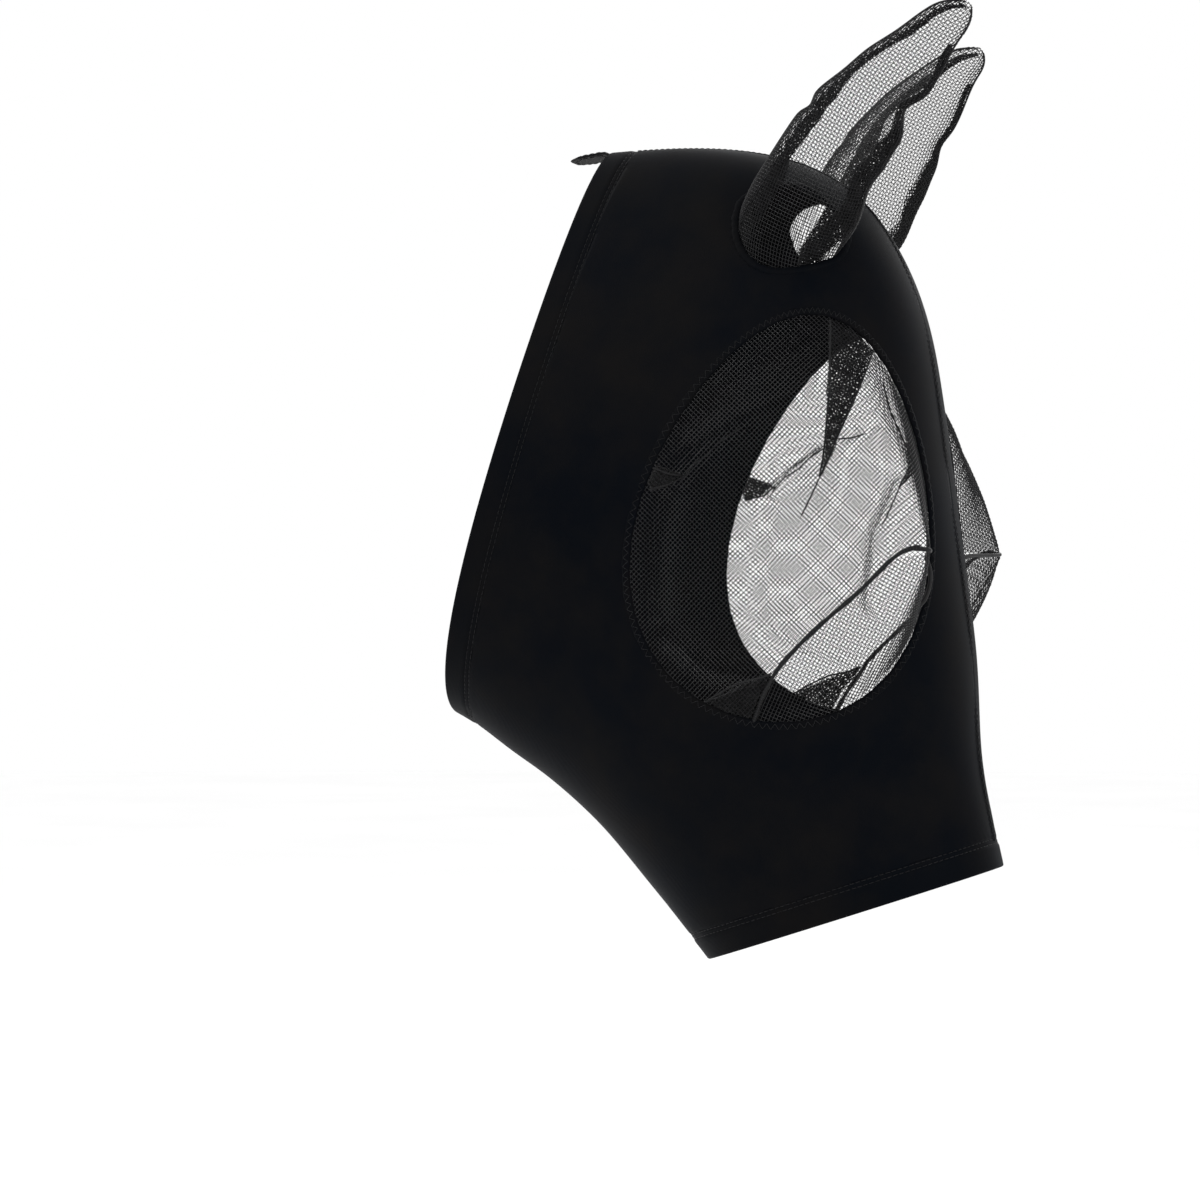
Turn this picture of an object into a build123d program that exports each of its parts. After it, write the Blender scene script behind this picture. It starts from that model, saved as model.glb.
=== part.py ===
"""Pull-on fly mask for a horse: stretch hood, domed mesh eyes and mesh ears.

Millimetres. X points forward (poll to nose), Z up, Y across the head. The
horse's right side is the -Y side. The origin is the middle of the neck
opening. The stretch hood is a skin swept through a fan of head sections that
all turn about one line under the throat.
"""
import os
from functools import lru_cache
from math import atan2, cos, degrees, hypot, pi, radians, sin

from build123d import *

os.makedirs("parts", exist_ok=True)

# ---- head form ------------------------------------------------------------
FAN_X, FAN_Z = -88.5, -350.5      # line the head sections turn about
# fan angle, throat radius, crest radius, half width, fullness, lean
HEAD = [
    (4, 207, 502, 74, 2.0, -0.26),
    (14, 198, 524, 80, 2.0, -0.24),
    (22, 190, 546, 88, 2.1, -0.12),
    (29, 187, 549, 94, 2.2, -0.02),
    (36, 185, 514, 97, 2.2, 0.04),
    (44, 184, 456, 95, 2.2, 0.08),
    (53, 184, 411, 85, 2.2, 0.06),
    (62, 188, 378, 70, 2.2, 0.02),
    (72, 198, 364, 60, 2.2, 0.00),
    (82, 212, 360, 56, 2.2, 0.00),
]
FAN_START, NOSE_ANGLE = 3.0, 71.5  # first head section; the nose edge

# ---- cloth ----------------------------------------------------------------
CLOTH = 1.2          # stretch cloth
MESH = 1.2           # coated mesh, measured square to the eye plane
HEM_WIDTH = 16.0
HEM_EXTRA = 0.5      # a turned hem is this much thicker on each face
STITCH_WIDTH = 3.5   # the band a twin needle sews
STITCH_RAISE = 0.35
SEAM_HALF = 1.5      # half width of the centre seams
NECK_ARC = 2100.0    # the neck edge is cut on this radius
NECK_TILT = 16.0     # and leans this far forward at the poll

# ---- eye opening and dome -------------------------------------------------
EYE_CENTRE = (155.0, -76.0, -50.0)
EYE_TURN = 20.0                   # the eye plane faces this far forward
EGG_CENTRE = (4.5, 3.0)
EGG_HALF_WIDTH, EGG_HALF_HEIGHT = 76.0, 107.0
EGG_TAPER, EGG_TILT = -0.20, -10.0
RIM_WIDTH = 4.0
APEX, APEX_HEIGHT = (74.0, -16.0), 44.0   # the peak of the dome, eye plane
DOME_BELLY = 9.0                  # the mesh bellies out this much between peak and rim
BELLY_REACH = 80.0                # and less on lines shorter than this
RIDGE_WIDTH = 3.0
RIDGE = [(84, -14), (64, -14), (50, -24), (36, -38), (20, -52), (6, -66),
         (-5, -80), (-11, -94), (-15, -108)]
DART_TOP = [(27, 112), (52, 96), (27, 43), (19, 23), (21, 40)]
DART_REAR = [(-70, 33), (-52, 25), (-68, 19)]
DART_LOWER = [(-42, -96), (-17.5, -108), (-13.5, -94), (-7.5, -82.5)]

# ---- ears -----------------------------------------------------------------
EAR_BASE = (150.0, 51.0, 102.0)
EAR_TIP_RIGHT = (256.0, 70.0, 221.0)
EAR_TIP_LEFT = (228.0, 92.0, 224.0)
# share of the length, forward shift, inward shift, half breadth, half depth
EAR = [
    (-0.19, 9, 14, 27, 26),
    (0.00, 0, 1, 29, 26),
    (0.19, -2, -4, 31, 23),
    (0.38, -5, -5, 30, 19),
    (0.56, -8, -4, 26, 14),
    (0.75, -7, -3, 20, 9),
    (0.89, -4, -2, 13, 5.5),
    (0.98, 0, -2, 5, 3),
]
EAR_SEAM_LOW, EAR_SEAM_HIGH = -5.5, 1.5   # the seams lie between, inward
EAR_MESH = 0.9
EAR_SEAM_IN, EAR_SEAM_OUT = -0.4, 1.3     # a seam is thicker than the mesh
EAR_RIM_WIDTH = 4.5
HINGE_AXIS = (0.0, 0.78, 0.62)    # the ear tilts about this line
HINGE_POINT = (152.0, 40.2, 88.5)
HINGE_RADIUS = 41.0
HINGE_GAP = 0.35

# ---- poll tab -------------------------------------------------------------
TAB_WIDTH, TAB_LENGTH, TAB_THICK = 25.0, 22.0, 1.8
TAB_DROP = 7.0                    # the tab slopes down to its end, degrees
TAB_HINGE = (37.5, 0, 158.2)


def smooth(table, column, x):
    """Natural cubic spline through one column of a table."""
    xs = [row[0] for row in table]
    ys = [row[column] for row in table]
    n = len(xs)
    step = [xs[i + 1] - xs[i] for i in range(n - 1)]
    slope = [(ys[i + 1] - ys[i]) / step[i] for i in range(n - 1)]
    carry, bend = [0.0] * n, [0.0] * n
    for i in range(1, n - 1):
        pivot = 2 * (xs[i + 1] - xs[i - 1]) - step[i - 1] * carry[i - 1]
        carry[i] = step[i] / pivot
        bend[i] = (6 * (slope[i] - slope[i - 1]) - step[i - 1] * bend[i - 1]) / pivot
    for i in range(n - 2, 0, -1):
        bend[i] -= carry[i] * bend[i + 1]
    i = max(k for k in range(n - 1) if k == 0 or xs[k] <= x)
    t, h = x - xs[i], step[i]
    first = slope[i] - h * (2 * bend[i] + bend[i + 1]) / 6
    return ys[i] + t * (first + t * (bend[i] / 2 + t * (bend[i + 1] - bend[i]) / (6 * h)))


def signed_power(value, power):
    return (1 if value >= 0 else -1) * abs(value) ** power


def section_point(angle, turn, extra):
    """Point of a head section: (distance from the fan line, sideways).

    turn runs from 0 at the crest to pi at the throat.
    """
    low, high, width, full, lean = (smooth(HEAD, k, angle) for k in range(1, 6))
    middle, half = (low + high) / 2, (high - low) / 2
    up = signed_power(cos(turn), 2 / full)
    side = abs(sin(turn)) ** (2 / full) if 0 < turn < pi else 0.0
    return (middle + (half + extra) * up, (width + extra) * side * (1 + lean * up))


def fan_plane(angle):
    a = radians(angle)
    return Plane(origin=(FAN_X, 0, FAN_Z), x_dir=(sin(a), 0, cos(a)),
                 z_dir=(-cos(a), 0, sin(a)))


# ---- eye dome shape ---------------------------------------------------------
def egg_point(angle, grow=0.0):
    """Point of the eye outline in the eye plane."""
    x = (EGG_HALF_WIDTH + grow) * cos(angle) * (1 + EGG_TAPER * sin(angle))
    y = (EGG_HALF_HEIGHT + grow) * sin(angle)
    c, s = cos(radians(EGG_TILT)), sin(radians(EGG_TILT))
    return (EGG_CENTRE[0] + x * c - y * s, EGG_CENTRE[1] + x * s + y * c)


def egg_level(p, q):
    """1 on the eye outline, less inside."""
    c, s = cos(radians(EGG_TILT)), sin(radians(EGG_TILT))
    dx, dy = p - EGG_CENTRE[0], q - EGG_CENTRE[1]
    x, y = dx * c + dy * s, (dy * c - dx * s) / EGG_HALF_HEIGHT
    width = EGG_HALF_WIDTH * max(1 + EGG_TAPER * y, 0.3)
    return hypot(x / width, y)


def eye_space(p, q, w):
    """Model point of eye plane coordinates, w outward."""
    c, s = cos(radians(EYE_TURN)), sin(radians(EYE_TURN))
    return Vector(EYE_CENTRE[0] + p * c + w * s, EYE_CENTRE[1] + p * s - w * c,
                  EYE_CENTRE[2] + q)


def head_side(x, z):
    """Half width of the head at a point of the side view."""
    radius = hypot(x - FAN_X, z - FAN_Z)
    angle = degrees(atan2(x - FAN_X, z - FAN_Z))
    low, high, width, full, lean = (smooth(HEAD, k, angle) for k in range(1, 6))
    up = (2 * radius - low - high) / (high - low)
    return width * max(1 - abs(up) ** full, 0) ** (1 / full) * (1 + lean * up)


def head_level(p, q):
    """Height of the head surface over the eye plane."""
    low, high = -90.0, 40.0
    for _ in range(24):
        w = (low + high) / 2
        point = eye_space(p, q, w)
        if -point.Y < head_side(point.X, point.Z):
            low = w
        else:
            high = w
    return low


def dome_level(p, q):
    """Height of the mesh over the eye plane: a tent from the apex to the rim."""
    away = max(hypot(p - APEX[0], q - APEX[1]), 0.01)
    ux, uy = (p - APEX[0]) / away, (q - APEX[1]) / away
    near, far = 0.0, 400.0
    for _ in range(24):
        middle = (near + far) / 2
        if egg_level(APEX[0] + ux * middle, APEX[1] + uy * middle) < 1:
            near = middle
        else:
            far = middle
    rim = head_level(APEX[0] + ux * near, APEX[1] + uy * near)
    share = away / near
    belly = 4 * DOME_BELLY * min(near / BELLY_REACH, 1) * share * max(1 - share, 0)
    return APEX_HEIGHT + (rim - APEX_HEIGHT) * min(share, 1.5) + belly


@lru_cache(None)
def dome_face():
    """Inner surface of the right eye dome."""
    grid = [[eye_space(-86 + 6 * i, -113 + 9 * j, dome_level(-86 + 6 * i, -113 + 9 * j))
             for j in range(27)] for i in range(30)]
    return Face.make_surface_from_array_of_points(grid, tol=0.15)


# ---- solids the pieces are cut from ----------------------------------------
@lru_cache(None)
def half_head(extra):
    """Solid right half of the head form, grown by extra."""
    grid = []
    for i in range(23):
        angle = FAN_START + (NOSE_ANGLE - FAN_START) * i / 22
        line = [section_point(angle, pi * j / 24, extra) for j in range(25)]
        grid.append([fan_plane(angle).from_local_coords((r, -s, 0)) for r, s in line])
    skin = Face.make_surface_from_array_of_points(grid, tol=0.05, min_deg=3, max_deg=3)
    ends = [edge for edge in skin.edges() if abs(edge.center().Y) > 5]
    middle = [edge for edge in skin.edges() if abs(edge.center().Y) < 5]
    chords = [Edge.make_line(end @ 0, end @ 1) for end in ends]
    caps = [Face(Wire([end, chord])) for end, chord in zip(ends, chords)]
    return Solid(Shell([skin, *caps, Face(Wire(middle + chords))]))


@lru_cache(None)
def head_skin(inner, outer):
    """Right half of a layer of the hood between two offsets."""
    with BuildPart() as skin:
        add(half_head(outer))
        add(half_head(inner), mode=Mode.SUBTRACT)
    return skin.part


def neck_zone(depth):
    """Everything nearer than depth to the neck edge, or behind it."""
    a = radians(NECK_TILT)
    with BuildPart() as zone:
        with Locations((-NECK_ARC * cos(a), 0, NECK_ARC * sin(a))):
            Cylinder(NECK_ARC + depth, 320, rotation=(90, 0, 0))
    return zone.part


def nose_zone(depth):
    """Everything nearer than depth to the nose edge."""
    with BuildPart(fan_plane(NOSE_ANGLE)) as zone:
        Box(1000, 320, 2 * depth)
    return zone.part


def eye_plane():
    e = radians(EYE_TURN)
    return Plane(origin=EYE_CENTRE, x_dir=(cos(e), sin(e), 0), z_dir=(sin(e), -cos(e), 0))


def through_eye(sketch):
    """Prism from a sketch of the eye plane, right through the right side."""
    with BuildPart() as prism:
        with BuildSketch(eye_plane().offset(-45)):
            add(sketch)
        extrude(amount=150)
    return prism.part


def egg_sketch(grow):
    with BuildSketch(Plane.XY) as egg:
        with BuildLine():
            Spline(*[egg_point(2 * pi * i / 16, grow) for i in range(16)], periodic=True)
        make_face()
    return egg.sketch


def ridge_sketch():
    with BuildSketch(Plane.XY) as ridge:
        with BuildLine() as path:
            Spline(*RIDGE)
        trace(path.line, line_width=RIDGE_WIDTH)
    return ridge.sketch


def polygon_sketch(corners):
    with BuildSketch(Plane.XY) as shape:
        with BuildLine():
            Polyline(*corners, close=True)
        make_face()
    return shape.sketch


def dome_layer(sketch, start, thickness):
    """Layer of the right eye dome under one outline of the eye plane.

    It is built up along a line tipped forward, so the steep front of the
    dome keeps a fair thickness.
    """
    slant = eye_plane().z_dir + eye_plane().x_dir * 0.6
    patch = dome_face() & through_eye(sketch)
    with BuildPart() as layer:
        extrude(patch.face().moved(Location(slant * start)), amount=thickness, dir=slant)
    return layer.part


def both_halves(part):
    with BuildPart() as whole:
        add(part)
        mirror(about=Plane.XZ)
    return whole.part


def keep(name, part):
    """Label a finished piece and write it out."""
    part.label = name
    export_step(part, f"parts/{name}.step")


def one_side(part, side):
    """A right-side solid, or its mirror image for the left side."""
    with BuildPart() as placed:
        add(part)
        if side > 0:
            mirror(about=Plane.XZ, mode=Mode.REPLACE)
    return placed.part


def keep_pair(name, part):
    """Write a right-side piece and its mirror image for the left side."""
    twin = one_side(part, 1)
    keep(f"{name}_right", part)
    keep(f"{name}_left", twin)


# ---- ears: shapes ------------------------------------------------------------
def ear_plane(tip, side):
    """Ear frame: z up the ear, x forward across it, y inward."""
    base = Vector(EAR_BASE[0], side * EAR_BASE[1], EAR_BASE[2])
    up = Vector(tip[0], side * tip[1], tip[2]) - base
    forward = Vector(0, -1, 0).cross(up.normalized())
    return Plane(origin=base, x_dir=-forward if forward.X < 0 else forward, z_dir=up)


def ear_form(tip, side, extra, reach=1.0):
    """Solid ear, grown by extra, reaching down into the head."""
    frame = ear_plane(tip, side)
    length = reach * (Vector(*tip) - Vector(*EAR_BASE)).length
    inward = 1 if frame.y_dir.Y * side < 0 else -1
    with BuildPart() as ear:
        for share, ahead, inside, breadth, depth in EAR:
            with BuildSketch(frame.offset(share * length)):
                with Locations((ahead, inward * inside)):
                    Ellipse(breadth + extra, depth + extra)
        loft()
    return ear.part


def ear_wall(tip, side, inner, outer):
    """Ear sock between two offsets, closed at the tip."""
    with BuildPart() as wall:
        add(ear_form(tip, side, outer))
        add(ear_form(tip, side, inner, 0.985), mode=Mode.SUBTRACT)
    return wall.part


def hinge_barrel(side, radius):
    """Cylinder about the ear's tilt line."""
    centre = (HINGE_POINT[0], side * HINGE_POINT[1], HINGE_POINT[2])
    axis = (0, side * HINGE_AXIS[1], HINGE_AXIS[2])
    with BuildPart(Plane(origin=centre, z_dir=axis)) as barrel:
        Cylinder(radius, 130)
    return barrel.part


def ear_slab(tip, side, low, high):
    """The part of the ear frame between two distances inward."""
    frame = ear_plane(tip, side)
    inward = 1 if frame.y_dir.Y * side < 0 else -1
    with BuildPart(frame) as slab:
        with Locations((0, inward * (low + high) / 2, 60)):
            Box(140, high - low, 300)
    return slab.part


def ear_front(tip, side):
    """The half of the ear frame ahead of the ear's middle."""
    with BuildPart(ear_plane(tip, side)) as half:
        with Locations((99, 0, 60)):
            Box(200, 140, 300)
    return half.part


# ---- hood pieces ---------------------------------------------------------------
def centre_slab():
    with BuildPart() as slab:
        Box(1200, 2 * SEAM_HALF, 1200)
    return slab.part


def crest_side():
    """Everything farther out than the throat side of the fan."""
    with BuildPart() as ring:
        with Locations((FAN_X, 0, FAN_Z)):
            Cylinder(900, 320, rotation=(90, 0, 0))
            Cylinder(300, 320, rotation=(90, 0, 0), mode=Mode.SUBTRACT)
    return ring.part


@lru_cache(None)
def panel_blank():
    """Right side panel before the ear hole is cut."""
    with BuildPart() as panel:
        add(head_skin(0, CLOTH))
        add(neck_zone(HEM_WIDTH), mode=Mode.SUBTRACT)
        add(nose_zone(HEM_WIDTH), mode=Mode.SUBTRACT)
        add(centre_slab(), mode=Mode.SUBTRACT)
        add(through_eye(egg_sketch(RIM_WIDTH + 1)), mode=Mode.SUBTRACT)
    return panel.part


def side_panel(tip, side):
    """One stretch side panel, built on the right and mirrored if left."""
    with BuildPart() as panel:
        add(panel_blank() if side < 0 else one_side(panel_blank(), side))
        add(ear_form(tip, side, EAR_RIM_WIDTH), mode=Mode.SUBTRACT)
    return panel.part


def whole_ring(zone, inner, outer, near, far):
    """Closed ring of the head form between two offsets and two distances from an edge."""
    with BuildPart() as ring:
        add(head_skin(inner, outer))
        add(zone(far), mode=Mode.INTERSECT)
        if near is not None:
            add(zone(near), mode=Mode.SUBTRACT)
        mirror(about=Plane.XZ)
    return ring.part


def hem(zone, near):
    """A turned hem round a whole opening."""
    return whole_ring(zone, -HEM_EXTRA, CLOTH + HEM_EXTRA, near, HEM_WIDTH)


def hem_stitching(zone):
    """The raised band a twin needle leaves along the inner side of a hem."""
    low = CLOTH + HEM_EXTRA
    return whole_ring(zone, low, low + STITCH_RAISE, HEM_WIDTH - STITCH_WIDTH, HEM_WIDTH)


def centre_seam(crest):
    """The joined panel edges along the face or along the jaw."""
    with BuildPart() as seam:
        add(head_skin(-0.8, CLOTH + 0.3))
        add(centre_slab(), mode=Mode.INTERSECT)
        add(crest_side(), mode=Mode.INTERSECT if crest else Mode.SUBTRACT)
        add(neck_zone(HEM_WIDTH), mode=Mode.SUBTRACT)
        add(nose_zone(HEM_WIDTH), mode=Mode.SUBTRACT)
        mirror(about=Plane.XZ)
    return seam.part


def eye_rim():
    """The folded and overlocked cloth edge round the right eye."""
    with BuildPart() as rim:
        add(head_skin(-0.8, CLOTH + 0.8))
        add(through_eye(egg_sketch(RIM_WIDTH + 1)), mode=Mode.INTERSECT)
        add(through_eye(egg_sketch(1)), mode=Mode.SUBTRACT)
    return rim.part


def ear_rim(tip, side):
    """The cloth edge round an ear hole."""
    with BuildPart() as rim:
        add(one_side(head_skin(-0.4, CLOTH + 0.4), side))
        add(ear_form(tip, side, EAR_RIM_WIDTH), mode=Mode.INTERSECT)
        add(ear_form(tip, side, EAR_SEAM_IN), mode=Mode.SUBTRACT)
    return rim.part


def ear_foot(tip, side):
    """The lowest band of ear mesh, sewn to the hood and still."""
    with BuildPart() as foot:
        add(ear_wall(tip, side, EAR_SEAM_IN, EAR_SEAM_OUT))
        add(hinge_barrel(side, HINGE_RADIUS - HINGE_GAP), mode=Mode.INTERSECT)
        add(one_side(half_head(CLOTH + 0.4), side), mode=Mode.SUBTRACT)
    return foot.part


def ear_panel(tip, side, low, high):
    """One mesh panel of the part of the ear that tilts."""
    with BuildPart() as panel:
        add(ear_wall(tip, side, 0, EAR_MESH))
        add(hinge_barrel(side, HINGE_RADIUS), mode=Mode.SUBTRACT)
        add(ear_slab(tip, side, low, high), mode=Mode.INTERSECT)
    return panel.part


def ear_seam(tip, side, front):
    """The doubled mesh where the two ear panels join."""
    with BuildPart() as seam:
        add(ear_wall(tip, side, EAR_SEAM_IN, EAR_SEAM_OUT))
        add(hinge_barrel(side, HINGE_RADIUS), mode=Mode.SUBTRACT)
        add(ear_slab(tip, side, EAR_SEAM_LOW, EAR_SEAM_HIGH), mode=Mode.INTERSECT)
        add(ear_front(tip, side), mode=Mode.INTERSECT if front else Mode.SUBTRACT)
    return seam.part


def poll_tab():
    """Flat pull tab that lies back on the mane."""
    c, d = cos(radians(TAB_DROP)), sin(radians(TAB_DROP))
    flat = Plane(origin=TAB_HINGE, x_dir=(-c, 0, -d), z_dir=(-d, 0, c))
    half, shoulder = TAB_WIDTH / 2, TAB_LENGTH * 0.7
    with BuildPart(flat) as tab:
        Cylinder(TAB_THICK / 2, TAB_WIDTH, rotation=(90, 0, 0))
        with BuildSketch(flat):
            with BuildLine():
                Polyline((0, -half), (shoulder, -half), (TAB_LENGTH, -half / 2),
                         (TAB_LENGTH, half / 2), (shoulder, half), (0, half), close=True)
            make_face()
        extrude(amount=TAB_THICK / 2, both=True)
    return tab.part


for label, tip, side in (("right", EAR_TIP_RIGHT, -1), ("left", EAR_TIP_LEFT, 1)):
    keep(f"side_panel_{label}", side_panel(tip, side))
    keep(f"ear_rim_{label}", ear_rim(tip, side))
    keep(f"ear_foot_{label}", ear_foot(tip, side))
    keep(f"ear_mesh_outer_{label}", ear_panel(tip, side, -80, EAR_SEAM_LOW))
    keep(f"ear_mesh_inner_{label}", ear_panel(tip, side, EAR_SEAM_HIGH, 80))
    keep(f"ear_seam_front_{label}", ear_seam(tip, side, True))
    keep(f"ear_seam_rear_{label}", ear_seam(tip, side, False))

keep("neck_hem", hem(neck_zone, 0))
keep("nose_hem", hem(nose_zone, None))
keep("neck_hem_stitching", hem_stitching(neck_zone))
keep("nose_hem_stitching", hem_stitching(nose_zone))
keep("front_seam", centre_seam(True))
keep("jaw_seam", centre_seam(False))
keep("poll_tab", poll_tab())

eye, ridge = egg_sketch(0), ridge_sketch()
upper, lower = (eye - ridge).faces().sort_by(Axis.Y, reverse=True)
keep_pair("eye_rim", eye_rim())
keep_pair("eye_mesh_upper", dome_layer(upper, 0, MESH))
keep_pair("eye_mesh_lower", dome_layer(lower, 0, MESH))
keep_pair("eye_ridge_seam", dome_layer(eye & ridge, -0.6, MESH + 1.2))
keep_pair("eye_dart_top", dome_layer((eye & polygon_sketch(DART_TOP)) - ridge, 0, -0.9))
keep_pair("eye_dart_rear", dome_layer((eye & polygon_sketch(DART_REAR)) - ridge, 0, -0.9))
keep_pair("eye_dart_lower", dome_layer((eye & polygon_sketch(DART_LOWER)) - ridge, 0, -0.9))
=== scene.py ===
"""Looks of the pull-on fly mask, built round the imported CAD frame.

Shapes are worked out in millimetres, with the same driving dimensions as the
CAD part, and written to Blender in metres. The horse's right side is the -Y
side. The hood and the eye covers are made for the right side and mirrored for
the left; each ear has its own shape.
"""
from math import cos, pi, radians, sin

import bpy
import numpy as np
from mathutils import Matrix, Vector


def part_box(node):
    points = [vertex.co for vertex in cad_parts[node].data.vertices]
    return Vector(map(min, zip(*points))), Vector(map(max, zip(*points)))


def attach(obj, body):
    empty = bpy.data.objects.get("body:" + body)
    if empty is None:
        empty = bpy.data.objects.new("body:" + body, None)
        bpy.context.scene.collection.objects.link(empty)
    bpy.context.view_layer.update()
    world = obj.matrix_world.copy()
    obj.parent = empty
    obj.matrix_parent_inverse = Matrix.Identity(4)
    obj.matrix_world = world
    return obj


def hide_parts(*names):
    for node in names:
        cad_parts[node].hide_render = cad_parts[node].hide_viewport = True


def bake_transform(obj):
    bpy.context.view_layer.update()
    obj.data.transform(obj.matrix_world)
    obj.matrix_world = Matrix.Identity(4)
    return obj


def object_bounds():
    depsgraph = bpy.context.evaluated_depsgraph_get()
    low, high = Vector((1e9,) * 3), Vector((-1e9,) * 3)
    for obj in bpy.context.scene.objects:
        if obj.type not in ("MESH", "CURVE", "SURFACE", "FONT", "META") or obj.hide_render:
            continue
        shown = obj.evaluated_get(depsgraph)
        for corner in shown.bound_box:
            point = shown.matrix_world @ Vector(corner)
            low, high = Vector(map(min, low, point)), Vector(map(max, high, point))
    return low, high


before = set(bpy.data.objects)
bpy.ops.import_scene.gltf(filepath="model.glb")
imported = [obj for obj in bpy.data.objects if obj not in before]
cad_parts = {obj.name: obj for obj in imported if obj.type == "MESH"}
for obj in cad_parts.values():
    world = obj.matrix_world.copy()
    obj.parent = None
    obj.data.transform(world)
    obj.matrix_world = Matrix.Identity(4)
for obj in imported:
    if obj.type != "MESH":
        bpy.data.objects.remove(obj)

cad_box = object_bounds()
MM = 0.001
SIDES = (("right", -1), ("left", 1))
ACROSS, UP = np.array([0.0, 1.0, 0.0]), np.array([0.0, 0.0, 1.0])
WHITE = (1.0, 1.0, 1.0, 1.0)

# ---- head form, as in the CAD part ----
FAN_X, FAN_Z = -88.5, -350.5
# fan angle, throat radius, crest radius, half width, fullness, lean
HEAD = np.array([
    (4, 207, 502, 74, 2.0, -0.26),
    (14, 198, 524, 80, 2.0, -0.24),
    (22, 190, 546, 88, 2.1, -0.12),
    (29, 187, 549, 94, 2.2, -0.02),
    (36, 185, 514, 97, 2.2, 0.04),
    (44, 184, 456, 95, 2.2, 0.08),
    (53, 184, 411, 85, 2.2, 0.06),
    (62, 188, 378, 70, 2.2, 0.02),
    (72, 198, 364, 60, 2.2, 0.00),
    (82, 212, 360, 56, 2.2, 0.00),
])
FAN_START, FAN_END, NOSE_ANGLE = 3.0, 82.0, 71.5
NECK_ARC, NECK_TILT = 2100.0, radians(16.0)

# ---- cloth ----
CLOTH = 1.2                        # thickness of the stretch cloth
HEM_WIDTH = 16.0
HEM_EXTRA = 0.5                    # how much higher the doubled cloth stands
HEM_MIDDLE = 14.5                  # between the rows of stitches
STITCH_ROWS = (13.2, 15.7)         # the twin needle's rows, in from the edge
STITCH_GROOVE = 0.45               # how deep a row draws the cloth in
STITCH_LONG, STITCH_GAP, STITCH_THREAD = 2.5, 0.8, 0.2

# ---- eye opening and dome, as in the CAD part ----
EYE_CENTRE = np.array([155.0, -76.0, -50.0])
EYE_TURN = radians(20.0)
EYE_ALONG = np.array([cos(EYE_TURN), sin(EYE_TURN), 0.0])
EYE_OUT = np.array([sin(EYE_TURN), -cos(EYE_TURN), 0.0])
EGG_CENTRE = (4.5, 3.0)
EGG_HALF_WIDTH, EGG_HALF_HEIGHT = 76.0, 107.0
EGG_TAPER, EGG_TILT = -0.20, radians(-10.0)
TILT_COS, TILT_SIN = cos(EGG_TILT), sin(EGG_TILT)
EGG_SIZE = 88.0                    # turns a level into a distance from the egg
RIM_MIDDLE, RIM_HALF = 3.0, 2.4    # the rolled rim, out from the egg
RIM_LIFT, RIM_RISE = 0.45, 1.35    # its middle's height, and half its thickness
APEX, APEX_HEIGHT = (74.0, -16.0), 44.0
DOME_BELLY, BELLY_REACH = 9.0, 80.0
RIDGE = np.array([(84, -14), (64, -14), (50, -24), (36, -38), (20, -52), (6, -66),
                  (-5, -80), (-11, -94), (-15, -108)], float)
# darts: name, corners in the eye plane, lines of their folded edges
DARTS = [
    ("top", [(27, 112), (52, 96), (27, 43), (19, 23), (21, 40)],
     [[(27, 108), (24, 70), (21, 40), (19, 23)], [(50, 92), (38, 66), (27, 43), (19, 23)]]),
    ("rear", [(-72, 34), (-50, 25), (-68, 17)],
     [[(-70, 31), (-58, 26), (-50, 25)], [(-68, 18), (-59, 20), (-50, 25)]]),
    ("lower", [(-44, -97), (-17.5, -110), (-13.5, -94), (-5, -78)],
     [[(-42, -96), (-24, -84), (-6, -79)]]),
]
LAYER_TURNS = (22, 50, 74)         # degrees, of the layers folded into a dart
# creases of the loose mesh: points in the eye plane, height, half width
CREASES = [
    ([(19, 23), (7, -3), (3, -41)], -9.0, 8.0),
    ([(-53, 22), (-43, 34), (-33, 42), (-21, 50)], -5.0, 3.2),
    ([(-46, 40), (-14, 58), (18, 70)], 6.0, 8.0),
    ([(-30, 78), (10, 92)], -4.0, 8.0),
    ([(54, 76), (58, 54), (65, 39), (73, 17), (77, -3)], -5.0, 3.6),
    ([(26, 43), (43, 46)], -3.5, 2.6),
    ([(30, 34), (36, 12), (30, -12)], 4.5, 8.0),
    ([(-58, -62), (-38, -76), (-14, -80)], 6.0, 7.0),
    ([(-64, -48), (-62, -10), (-58, 12)], 3.5, 6.0),
    ([(74, -20), (72, -46)], -3.0, 2.4),
]
# sharp pinches in the mesh: points in the eye plane
PINCHES = [
    [(-52, 22), (-45, 31), (-38, 36), (-33, 42), (-21, 50)],
    [(26, 43), (35, 43.5), (43, 46)],
    [(19, 23), (13, 10), (9, 2)],
    [(54, 74), (57, 58), (62, 46), (70, 27)],
    [(73, -14), (73, -30), (71, -46)],
]

# ---- net ----
PITCH = 1.9
THREAD = 0.17                      # half the width of a coated thread
THREAD_RISE = 0.32                 # half its height: crossing threads are one layer
WEAVE = 0.16                       # how far a thread goes over and under
NET_TURN_IN = 2.6                  # how far the eye net runs into the rolled rim
FOLDED_PITCH, FOLDED_THREAD = 1.7, 0.33    # crumpled mesh, in darts and seams

# ---- ears, as in the CAD part ----
EAR_BASE = (150.0, 51.0, 102.0)
EAR_TIPS = {"right": (256.0, 70.0, 221.0), "left": (228.0, 92.0, 224.0)}
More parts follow.
